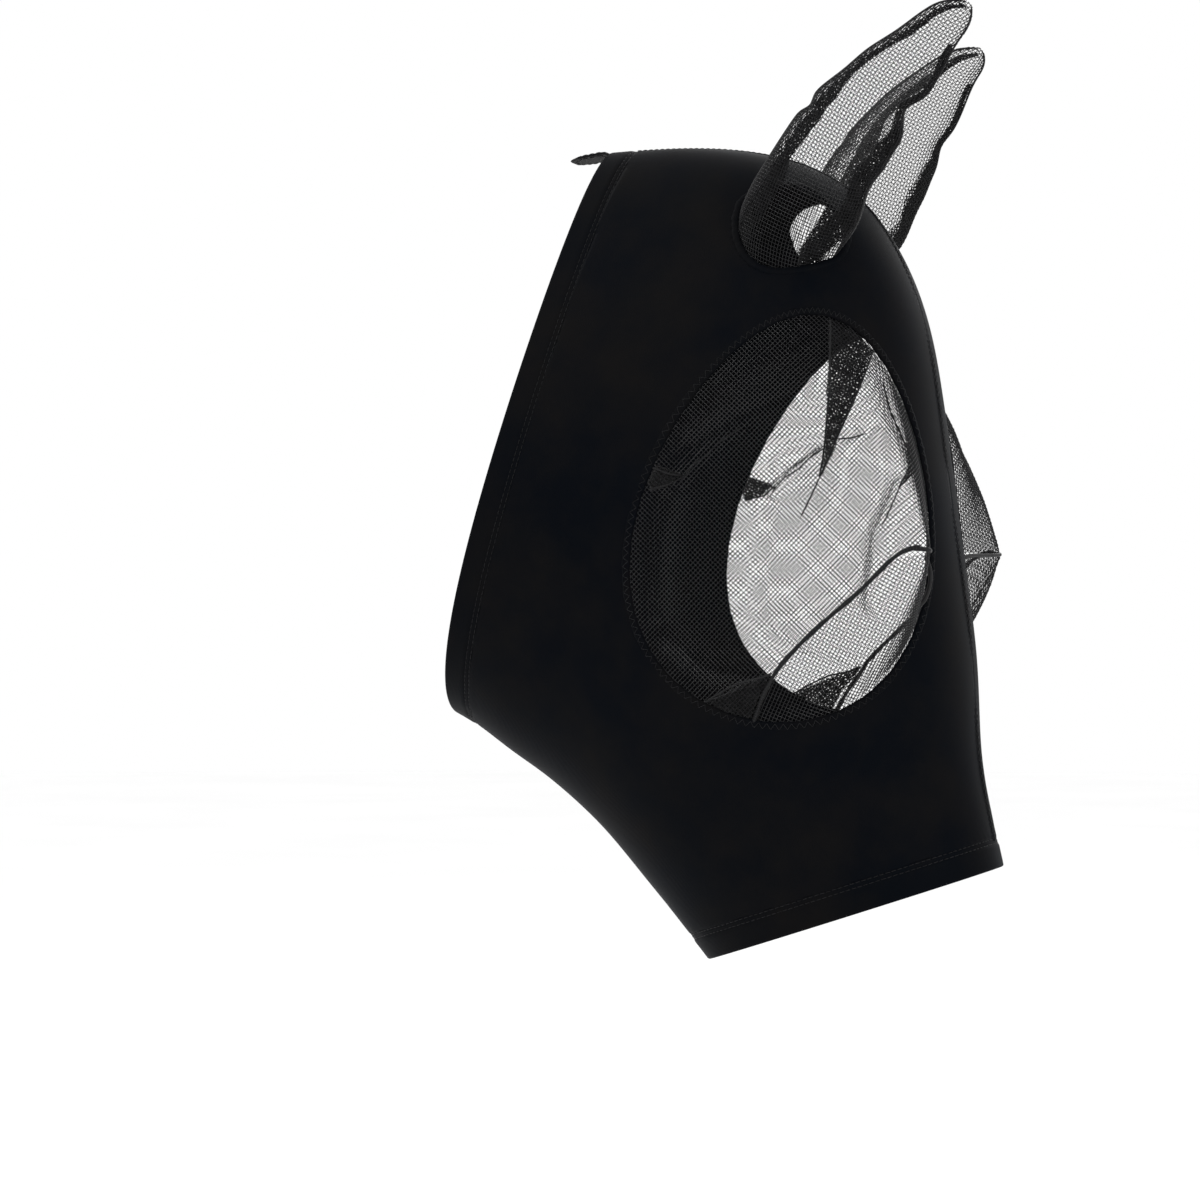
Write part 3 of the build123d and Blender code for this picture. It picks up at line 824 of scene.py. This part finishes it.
def cloth_height(points):
    """Height of the outer face of the hood over the head form."""
    neck, nose = from_neck(points), from_nose(points)
    p, q = eye_plane_of(points)
    away = (egg_level(p, q) - 1) * EGG_SIZE
    around = np.degrees(np.arctan2(q - EGG_CENTRE[1], p - EGG_CENTRE[0]))
    pulls = np.zeros(np.shape(p))
    for middle, spread, waves, tall, reach in PULLS:
        turn = (around - middle + 180) % 360 - 180
        window = np.exp(-(turn / spread) ** 2) * (1 - np.exp(-away / 4)) * np.exp(-away / reach)
        pulls += tall * window * np.cos(np.radians(turn * waves))
    slow = 0.35 * np.sin(0.045 * points[..., 0] + 0.07 * points[..., 2])
    fade = np.clip((np.minimum(neck, nose) - 20) / 16, 0, 1)
    near_edge = hem_height(neck) + hem_height(nose) - CLOTH
    ripple = hem_ripple(points, neck) + hem_ripple(points, nose)
    return near_edge + ripple + fade * (np.where(away > 0, pulls, 0) + slow)


def ear_level(ear, points, extra):
    """Above 0 outside the ear grown by extra, for points near its foot."""
    away = points - ear.base
    share = np.clip(away @ ear.up / ear.length, EAR_FOOT, EAR_TOP)
    ahead, inside, breadth, depth = (smooth(EAR, k, share) for k in range(1, 5))
    return np.hypot((away @ ear.ahead - ahead) / (breadth + extra),
                    (away @ ear.inward - inside) / (depth + extra)) - 1


def side_panel(ear):
    """One stretch side panel with its thickness."""
    angle = np.linspace(FAN_START, NOSE_ANGLE, PANEL_ROWS)[:, None]
    turn = np.linspace(0.0, pi, PANEL_COLUMNS)[None, :]
    base = head_point(angle, turn)
    points = head_point(angle, turn, cloth_height(base))
    p, q = eye_plane_of(base)
    edges = np.stack([
        from_neck(base) - HEM_WIDTH, from_nose(base) - HEM_WIDTH,
        egg_level(p, q, RIM_MIDDLE) - 1,
        ear_level(ear, base * (1, -ear.side, 1), EAR_RIM / 3)], -1)
    columns = np.concatenate([points, edges], -1).reshape(-1, 3 + edges.shape[-1])
    faces = grid_faces(PANEL_ROWS, PANEL_COLUMNS)
    for column in range(3, columns.shape[1]):
        columns, faces = clip(columns, faces, column)
    piece(f"hood_side_{ear.label}", (columns, faces), LYCRA, [f"side_panel_{ear.label}"],
          side=ear.side, thickness=CLOTH)


# fan angles that each edge lies between, and whether the distance in grows with them
EDGE_SEARCH = {from_neck: (2.0, 45.0, True), from_nose: (40.0, 76.0, False)}


def edge_angle(from_edge, turn, depth, extra):
    """Fan angle at which the head form is depth in from one of the hood's edges."""
    low, high, rises = EDGE_SEARCH[from_edge]
    turn, depth, extra = np.broadcast_arrays(turn, depth, extra)

    def test(angle):
        return (from_edge(head_point(angle, turn, extra)) < depth) == rises

    return bisect(test, np.full(turn.shape, low), np.full(turn.shape, high))


def edge_point(from_edge, turn, depth, extra):
    """Point of the whole head form, depth in from one of the hood's edges."""
    right = np.where(turn <= pi, turn, 2 * pi - turn)
    points = head_point(edge_angle(from_edge, right, depth, extra), right, extra)
    return points * np.stack(np.broadcast_arrays(1.0, np.where(turn <= pi, 1.0, -1.0), 1.0), -1)


def even_turns(from_edge, depth, spacing):
    """Turns round the head that are evenly spaced along one edge."""
    fine = np.linspace(0, 2 * pi, 1441)
    away = run_along(edge_point(from_edge, fine, depth, CLOTH))
    count = int(away[-1] / spacing)
    return np.interp(np.arange(count) / count * away[-1], away, fine)


def hem_profile():
    """Depth in from the edge and height over the head form, once round the turned hem."""
    bottom, top, sew = -HEM_EXTRA, CLOTH + HEM_EXTRA, HEM_WIDTH + 0.4
    radius = (top - bottom) / 2
    outer = [(d, hem_height(d)) for d in np.arange(sew, radius, -0.55)]
    fold = [(radius * (1 - sin(a)), bottom + radius * (1 + cos(a)))
            for a in np.linspace(0.15, pi - 0.15, 8)]
    inner = [(d, bottom) for d in np.linspace(radius, sew, 9)]
    return np.array(outer + fold + inner)


def hem(name, from_edge):
    """A turned hem, as one closed skin."""
    turn, profile = even_turns(from_edge, 8.0, 2.6)[:, None], hem_profile()
    depth, height = profile[None, :, 0], profile[None, :, 1]
    ripple = hem_ripple(edge_point(from_edge, turn, depth, CLOTH), depth)
    points = edge_point(from_edge, turn, depth, height + ripple)
    faces = tube_faces(len(turn), len(profile), True)
    piece(f"hem_{name}", (points.reshape(-1, 3), faces), HEM, [f"{name}_hem"])


def hem_line(from_edge, depth, spacing=1.0):
    """Closed line on the outside of a hem, with its outward directions."""
    turn, height = even_turns(from_edge, depth, spacing), float(hem_height(depth))
    turn = np.append(turn, turn[0])
    line, over = (edge_point(from_edge, turn, depth, height + more) for more in (0.0, 1.0))
    outward = unit(over - line)
    return line + outward * hem_ripple(line, depth)[:, None], outward


def hem_stitches(name, from_edge):
    """Two rows outside, and the looper's zigzag between them inside."""
    rows = [stitch_arrays(*hem_line(from_edge, depth)) for depth in STITCH_ROWS]
    turn = even_turns(from_edge, HEM_WIDTH, 1.5)
    zigzag = np.where(np.arange(len(turn)) % 2, *STITCH_ROWS)
    line, over = (edge_point(from_edge, turn, zigzag, height)
                  for height in (-HEM_EXTRA - 0.15, 0.9))
    inside = tube_arrays(line, unit(over - line), STITCH_THREAD, 5)
    piece(f"hem_{name}_twin_stitches", joined(*rows, inside), SEWING, [f"{name}_hem_stitching"])


def centre_seam(name, turn, rows=260):
    """The joined panel edges on the middle line, with a row of stitches each side."""
    ends = [edge_angle(edge, turn, HEM_WIDTH - 1.5, 0.0) for edge in (from_neck, from_nose)]
    angle = np.linspace(*ends, rows)
    line, over = head_point(angle, turn, CLOTH), head_point(angle, turn, CLOTH + 1.0)
    line[:, 1] = over[:, 1] = 0.0
    outward, side = unit(over - line), np.tile(ACROSS, (rows, 1))
    wobble = 1 + 0.05 * np.sin(np.arange(rows) * 0.9)
    roll = roll_arrays(line - outward * 0.25, side, outward, 1.7, 0.75, False, wobble)
    stitches = [stitch_arrays(line + side * y + outward * 0.05, outward) for y in (-3.0, 3.0)]
    piece(f"{name}_roll", roll, HEM, [name])
    piece(f"{name}_roll_stitches", joined(*stitches), SEWING)


# ---- eye rims and domes ----
# the zigzag thread over a rim: points, zigzags, and degrees to each side of its top
BINDING_POINTS, BINDING_TURNS, BINDING_SWING = 2600, 140, 36


def rim_surface(angle, grow):
    """Point of the head form on the eye outline grown by grow."""
    p, q = egg_point(angle, grow)
    return eye_space(p, q, head_level(p, q))


def eye_rim(label, side):
    """The cloth's rolled edge round the eye, and the thread that binds it."""
    angle = np.linspace(0, 2 * pi, 301)[:-1]
    centre = rim_surface(angle, RIM_MIDDLE)
    across = unit(rim_surface(angle, RIM_MIDDLE + 1) - rim_surface(angle, RIM_MIDDLE - 1))
    along = unit(rim_surface(angle + 0.01, RIM_MIDDLE) - rim_surface(angle - 0.01, RIM_MIDDLE))
    outward = np.cross(across, along)
    outward *= np.sign(outward @ EYE_OUT)[:, None]
    puckers = 1 + 0.05 * np.sin(angle * 83) + 0.06 * np.sin(angle * 31 + 1)
    roll = roll_arrays(centre + outward * RIM_LIFT, across, outward, RIM_HALF, RIM_RISE, True,
                       puckers, 16)
    piece(f"eye_rim_{label}_roll", roll, HEM, [f"eye_rim_{label}"], side=side)
    steps = np.arange(0, 2 * pi, 2 * pi / BINDING_POINTS)
    swing = (2 / pi) * np.arcsin(np.sin(steps * BINDING_TURNS))
    over = np.radians(90 - BINDING_SWING * swing)
    middle, aside, out = (read_line(steps, angle, rows) for rows in (centre, across, outward))
    line = (middle + out * RIM_LIFT + aside * (np.cos(over) * RIM_HALF * 1.07)[:, None]
            + out * (np.sin(over) * RIM_RISE * 1.08)[:, None])
    thread = tube_arrays(line, unit(out + aside * 0.5), 0.14, 5)
    piece(f"eye_rim_{label}_binding", thread, SEWING, side=side)


class DomePanel:
    """One of the two mesh panels of an eye dome."""

    def __init__(self, first, last, above, reference, wanted):
        """first to last: the turns it covers, in degrees; above: over the ridge or under it.

        Its threads show at the wanted angle on the ray at the reference turn.
        """
        self.cone, self.above = Cone(first, last), above
        self.angle = self.cone.lattice_turn(reference, radians(wanted))
        far = self.cone.long + 2 * RIM_MIDDLE
        u, v = (np.append(far * wave(self.cone.flat), 0.0) for wave in (np.cos, np.sin))
        self.span = (u.min(), u.max(), v.min(), v.max())

    def inside(self, u, v):
        p, q, _, share = self.cone.plane(u, v)
        on_side = (q > ridge_height(p)) == self.above
        in_rim = (share < 1.8) & (egg_level(p, q, NET_TURN_IN) < 1)
        return self.cone.inside(u, v) & in_rim & on_side

    def arrays(self):
        return net_arrays(self.cone.shape, self.inside, self.span, self.angle)


def dart_arrays(corners, turns, rolls):
    """Folded mesh of a dart: more layers under the dome, and its folded edges."""
    p, q = np.array(corners, float).T

    def inside(u, v):
        return in_polygon(u, v, corners) & (egg_level(u, v, 0.8) < 1) & (v > ridge_height(u))

    span = (p.min(), p.max(), q.min(), q.max())
    layers = [net_arrays(dome_point, inside, span, radians(turn), -0.8 - 0.7 * k, FOLDED_PITCH,
                         FOLDED_THREAD) for k, turn in enumerate(turns)]
    return joined(*layers, *(line_roll(line, 0.5, 0.3) for line in rolls))


def line_roll(line, radius, lift):
    """A thin rolled fold of mesh along a line of the eye plane."""
    line = np.array(line, float)
    away = run_along(line)
    at = np.linspace(0, away[-1], max(int(away[-1] / 1.5), 6))
    p, q = read_line(at, away, line).T
    outward = normals(dome_point, p, q)
    points = dome_point(p, q) + outward * lift
    rough = radius * (1 + 0.14 * np.sin(at * 2.3) + 0.1 * np.sin(at * 5.1))
    rough = rough * np.clip(np.minimum(at, away[-1] - at) / 3 + 0.35, 0, 1)
    return tube_arrays(points, outward, rough, 8)


def ridge_arrays():
    """The rolled and bound seam along the dome's ridge, and its tail at the front rim."""
    p, q = smooth_line(RIDGE, np.linspace(0.7, len(RIDGE) - 1.2, 116)).T
    outward = normals(dome_point, p, q)
    points = dome_point(p, q) + outward * 0.35
    at = np.arange(len(p))
    radius = 1.15 + 0.14 * np.sin(at * 0.35) + 0.05 * np.sin(at * 1.3)
    roll = tube_arrays(points, outward, radius, 10)
    fine = np.linspace(0, len(p) - 1, 1500)
    middle, out = read_line(fine, at, points), unit(read_line(fine, at, outward))
    side = unit(np.cross(np.gradient(middle, axis=0), out))
    wound = fine * 4.2
    thick = (np.interp(fine, at, radius) + 0.1)[:, None]
    spiral = middle + thick * (np.cos(wound)[:, None] * side + np.sin(wound)[:, None] * out)
    binding = tube_arrays(spiral, out, 0.16)
    return joined(roll, binding, ridge_tail())


def ridge_tail():
    """The seam's loose end: over the front rim and back in a small loop."""
    start = np.array([(66, -14.0), (71, -14.2), (74.2, -14.8), (76, -15.3), (77.8, -15.8)])
    # round the rim: degrees, out from the egg, lift
    turn, grow, lift = np.transpose([(-4.5, 0.0, 1.9), (-7.5, 2.4, 2.9), (-12.0, 3.0, 2.9),
                                     (-16.5, 1.4, 2.2), (-19.0, -1.6, 1.2)])
    points = np.vstack([dome_point(*start.T) + EYE_OUT * 0.4,
                        rim_surface(np.radians(turn), grow) + lift[:, None] * EYE_OUT])
    fine = np.linspace(0, len(points) - 1, 100)
    thick = 1.2 * np.clip(0.45 + (len(points) - 1 - fine) * 1.2, 0, 1)
    lying = np.clip((fine - len(start) + 0.5) / 1.5, 0, 1)[:, None]
    outward = UP * (1 - lying) + EYE_OUT * lying
    return tube_arrays(smooth_line(points, fine), outward, thick, 10)


# ---- ear pieces ----
def ear_piece(name, arrays, material, nodes=()):
    """An ear piece, on no body, with its transform baked into its points."""
    thing = piece(name, arrays, material, nodes, None)
    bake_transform(thing)


def ear_net(ear, face, name, nodes):
    """The woven net of one ear panel."""
    net = net_arrays(ear.shape(face), ear.inside(face), ear.span(face),
                     pi / 2 + EAR_NET_TURN * -face)
    ear_piece(f"ear_net_{name}_{ear.label}", net, NET,
              [f"{node}_{ear.label}" for node in nodes])


def ear_band(ear, front, face, low, high, shrink, turns):
    """Seam allowance inside an ear panel: extra mesh along one edge."""
    table = SEAM_FRONT if front else SEAM_REAR
    plain = ear.inside(face)
    outward = face * ear.side

    def inside(u, v):
        share, _, place, total = ear.place(face, u, v)
        from_edge = total - place if front else place
        near, width = (np.interp(share, table[:, 0], table[:, k]) for k in (1, 2))
        width = width * shrink * (1 + 0.12 * np.sin(share * 17) + 0.08 * np.sin(share * 41))
        on = (share > low) & (share < high) & (from_edge > near) & (from_edge < near + width)
        return plain(u, v) & on

    return [net_arrays(ear.shape(face), inside, ear.span(face), radians(turn),
                       -outward * (0.8 + 0.6 * k), FOLDED_PITCH, FOLDED_THREAD)
            for k, turn in enumerate(turns)]


def ear_line(ear, front, face, near, low, high, lift, seam=None):
    """Line up the ear at one distance from an edge or seam, with outward directions."""
    share = np.linspace(low, high, 160)
    if seam is not None:
        near = near + np.interp(share, seam[:, 0], seam[:, 1])
    shares, totals, middles, _ = ear.tables[face]
    all_round = np.interp(share, shares, totals)
    u = (all_round - near if front else near) - np.interp(share, shares, middles)
    v = share * ear.length
    panel = ear.shape(face)
    outward = normals(panel, u, v) * face * ear.side
    return panel(u, v) + outward * lift, outward, ear.inside(face)(u, v)


def ear_seam(ear, front):
    """One ear seam: its allowance, its stitches and the panels' joined edge."""
    low, high = SEAM_START, FRONT_SEAM_END if front else SEAM_END
    parts = ear_band(ear, front, -1, low, high, 1.0, (24, 52, 75))
    if front:
        parts += ear_band(ear, front, 1, low, high, 0.75, (35,))
    points, outward, good = ear_line(ear, front, -1, 0.6, SEAM_START, SEAM_END, 0.0)
    parts.append(tube_arrays(points[good], outward[good], 0.55, 6))
    stitches, seam = [], SEAM_FRONT if front else SEAM_REAR
    for near in (0.5, 2.2):
        points, outward, good = ear_line(ear, front, -1, near, low + 0.02, high - 0.02, 0.35, seam)
        stitches.append(stitch_arrays(points[good], outward[good], 2.2, 0.8, 0.24))
    name = f"ear_seam_{'front' if front else 'rear'}_{ear.label}"
    ear_piece(f"{name}_band", joined(*parts), NET_FOLDED_SHADED, [name])
    ear_piece(f"{name}_stitches", joined(*stitches), SEWING)


def ear_foot_point(ear, turn, grow, height):
    """Where the ear grown by grow leaves the head form grown by height."""
    share = bisect(lambda share: head_excess(ear.point(share, turn, grow), height) < 0,
                   np.full(turn.shape, EAR_FOOT), np.full(turn.shape, 0.45))
    return ear.point(share, turn, grow)


def ear_rim(ear):
    """The cloth's rolled edge round the ear hole."""
    turn = np.linspace(0, 2 * pi, 181)[:-1]

    def foot(grow, height):
        return ear_foot_point(ear, turn, EAR_RIM / 2 + grow, CLOTH + height)

    centre, across = foot(0, 0), unit(foot(1, 0) - foot(-1, 0))
    outward = unit(foot(0, 1) - foot(0, -1))
    outward = unit(outward - across * np.sum(outward * across, axis=1)[:, None])
    puckers = 1 + 0.06 * np.sin(turn * 47) + 0.06 * np.sin(turn * 19 + 2)
    roll = roll_arrays(centre - outward * 0.3, across, outward, 2.3, 1.25, True, puckers, 14)
    piece(f"ear_rim_{ear.label}_roll", roll, HEM, [f"ear_rim_{ear.label}"])


# ---- poll tab ----
TAB_HINGE = np.array([37.5, 0.0, 158.2])
TAB_LENGTH, TAB_THICKNESS, TAB_DROP = 22.0, 1.8, radians(7.0)
TAB_CURL = 0.0012                  # how fast the tab curves down


def poll_tab():
    """Flat folded tape with its stitching, lying back from the hem."""
    low, high = (np.array(corner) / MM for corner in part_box("poll_tab"))
    half = (high[1] - low[1]) / 2
    back = np.array([-cos(TAB_DROP), 0, -sin(TAB_DROP)])
    over = np.array([-sin(TAB_DROP), 0, cos(TAB_DROP)])

    def place(at, side, lift):
        """Point at along the tab, side across it and lift over its middle."""
        return TAB_HINGE + at * back + side * ACROSS + (lift - TAB_CURL * at ** 2) * over

    at = np.linspace(-0.7, TAB_LENGTH, 40)[:, None, None]
    taper = np.clip(at - 0.7 * TAB_LENGTH, 0, None) / (0.3 * TAB_LENGTH)
    wide = half - taper * half / 2
    end = ((at - TAB_LENGTH / 2 + 0.35) / (TAB_LENGTH / 2 + 0.36)) ** 30
    around = np.linspace(0, 2 * pi, 49)[:-1, None]
    rise = TAB_THICKNESS / 2 * np.sqrt(np.clip(1 - end, 0, 1)) * power(np.sin(around), 0.5)
    points = place(at, wide * power(np.cos(around), 0.25), rise)
    tape = points.reshape(-1, 3), tube_faces(*points.shape[:2])
    piece("poll_tab_tape", tape, TAPE, ["poll_tab"], "tab")
    loop = [(2.5, -half + 2), (14, -half + 2), (19.5, -half / 2 + 1), (19.5, half / 2 - 1),
            (14, half - 2), (2.5, half - 2), (2.5, -half + 2)]
    t, rows = np.linspace(0, 1, 30)[:, None], []
    for face in (1, -1):
        for first, last in zip(loop[:-1], loop[1:]):
            path = np.array(first) * (1 - t) + np.array(last) * t
            line = place(path[:, :1], path[:, 1:], face * (TAB_THICKNESS / 2 + 0.02))
            rows.append(stitch_arrays(line, np.tile(over * face, (len(t), 1)), 2.2, 0.8))
    piece("poll_tab_stitches", joined(*rows), SEWING, (), "tab")


# ---- put together ----
def build_hood():
    for ear in EARS.values():
        side_panel(ear)
    for name, from_edge in (("neck", from_neck), ("nose", from_nose)):
        hem(name, from_edge)
        hem_stitches(name, from_edge)
    for name, turn in (("front_seam", 0.0), ("jaw_seam", pi)):
        centre_seam(name, turn)


def build_eyes():
    """Both eye covers: the right one's shapes, made once, and their mirror images."""
    nets = {"upper": DomePanel(-10.0, 240.0, True, 200.0, 47.0).arrays(),
            "lower": DomePanel(190.0, 372.0, False, 280.0, 45.0).arrays()}
    ridge = joined(ridge_arrays(), *(line_roll(line, 0.42, 0.2) for line in PINCHES))
    darts = {name: dart_arrays(corners, LAYER_TURNS, rolls) for name, corners, rolls in DARTS}
    for label, side in SIDES:
        eye_rim(label, side)
        piece(f"eye_ridge_{label}", ridge, NET_FOLDED_SHADED, [f"eye_ridge_seam_{label}"], side=side)
        for name, arrays in darts.items():
            piece(f"eye_dart_{name}_{label}_folds", arrays, NET_FOLDED_SHADED,
                  [f"eye_dart_{name}_{label}"], side=side)
        for name, arrays in nets.items():
            piece(f"eye_net_{name}_{label}", arrays, NET, [f"eye_mesh_{name}_{label}"], side=side)


def build_ears():
    for ear in EARS.values():
        ear_net(ear, -1, "outer", ["ear_mesh_outer", "ear_foot"])
        ear_net(ear, 1, "inner", ["ear_mesh_inner"])
        for front in (True, False):
            ear_seam(ear, front)
        ear_rim(ear)


# each sheet's flat width, length and area, in metres and square metres
CUTS = {
    "hood_side_right": (0.31, 0.46, 0.081),
    "hood_side_left": (0.31, 0.46, 0.081),
    "eye_net_upper_right": (0.171, 0.207, 0.0285),
    "eye_net_lower_right": (0.075, 0.190, 0.0069),
    "eye_net_upper_left": (0.171, 0.207, 0.0285),
    "eye_net_lower_left": (0.075, 0.190, 0.0069),
    "ear_net_outer_right": (0.095, 0.195, 0.0106),
    "ear_net_inner_right": (0.080, 0.170, 0.0084),
    "ear_net_outer_left": (0.095, 0.180, 0.0098),
    "ear_net_inner_left": (0.080, 0.165, 0.0081),
}
# what is sewn to each kind of sheet; {} is the side
SEWN = {
    "hood_side": ["eye_rim_{}_roll", "eye_rim_{}_binding", "ear_rim_{}_roll"],
    "eye_net_upper": ["eye_dart_top_{}_folds", "eye_dart_rear_{}_folds", "eye_ridge_{}"],
    "eye_net_lower": ["eye_dart_lower_{}_folds"],
    "ear_net_outer": ["ear_seam_front_{}_band", "ear_seam_front_{}_stitches",
                      "ear_seam_rear_{}_band", "ear_seam_rear_{}_stitches"],
    "ear_net_inner": [],
}
# what both side panels share, counted with the right one
SHARED = ["hem_neck", "hem_neck_twin_stitches", "hem_nose", "hem_nose_twin_stitches",
          "front_seam_roll", "front_seam_roll_stitches", "jaw_seam_roll", "jaw_seam_roll_stitches"]


def declare_cloth():
    """Gather the pieces sewn to each sheet; nothing more is done with them or with the cuts."""
    for name, (width, length, area) in CUTS.items():
        kind, label = name.rsplit("_", 1)
        sewn = [one.format(label) for one in SEWN[kind]]
        if name == "hood_side_right":
            sewn += SHARED


# soft boxes: place, power in watts, size; all in metres
SOFT_BOXES = [((-0.6, -2.2, 1.6), 30, 1.6), ((2.0, -1.4, 0.6), 22, 1.4),
              ((0.3, 2.2, 1.4), 26, 1.8), ((-1.8, 0.6, 1.2), 20, 1.4)]
LIGHT_AIM = Vector((0.1, 0, -0.03))
FLOOR_RADIUS, FLOOR_DROP, WORLD_LIGHT = 9.0, 0.35, 1.03


def build_stage():
    """Pale floor well below, a white surround and soft boxes."""
    bpy.ops.mesh.primitive_circle_add(vertices=96, radius=FLOOR_RADIUS, fill_type="NGON",
                                      location=(0, 0, cad_box[0][2] - FLOOR_DROP))
    floor = bpy.context.object
    floor.name = "floor"
    paint = surface("floor_paint", (0.95,) * 3, (0.97,) * 3, (2.0, 2.0),
                    Roughness=0.9, Specular_IOR_Level=0.1)
    floor.data.materials.append(paint)
    world = bpy.data.worlds.new("studio")
    bpy.context.scene.world = world
    world.use_nodes = True
    tree = world.node_tree
    lit = tree.nodes["Background"]
    lit.inputs["Color"].default_value, lit.inputs["Strength"].default_value = WHITE, WORLD_LIGHT
    seen = add_node(tree, "ShaderNodeBackground", Color=WHITE, Strength=1.0)
    rays = add_node(tree, "ShaderNodeLightPath")
    mix = add_node(tree, "ShaderNodeMixShader", {
        0: rays.outputs["Is Camera Ray"], 1: lit.outputs[0], 2: seen.outputs[0]})
    tree.links.new(mix.outputs[0], tree.nodes["World Output"].inputs["Surface"])
    for place, watts, size in SOFT_BOXES:
        lamp = bpy.data.lights.new("softbox", "AREA")
        lamp.energy, lamp.size = watts, size
        box = bpy.data.objects.new("softbox", lamp)
        box.location = place
        aim = LIGHT_AIM - Vector(place)
        box.rotation_euler = aim.to_track_quat("-Z", "Y").to_euler()
        bpy.context.scene.collection.objects.link(box)
    bpy.context.scene.view_settings.view_transform = "Standard"


def build_camera():
    """Level view from the right side, a little ahead of square."""
    turn, distance, field = radians(18.0), 1.9, 0.672
    middle = Vector((0.031, 0.0, -0.0904))
    back = Vector((sin(turn), -cos(turn), 0))
    lens = bpy.data.cameras.new("camera")
    lens.sensor_width = 36.0
    lens.lens = lens.sensor_width * distance / field
    camera = bpy.data.objects.new("camera", lens)
    camera.location = middle + back * distance
    camera.rotation_euler = (-back).to_track_quat("-Z", "Y").to_euler()
    bpy.context.scene.collection.objects.link(camera)
    bpy.context.scene.camera = camera


EARS = {label: Ear(label, side) for label, side in SIDES}
build_hood()
build_eyes()
build_ears()
poll_tab()
declare_cloth()
build_stage()
build_camera()
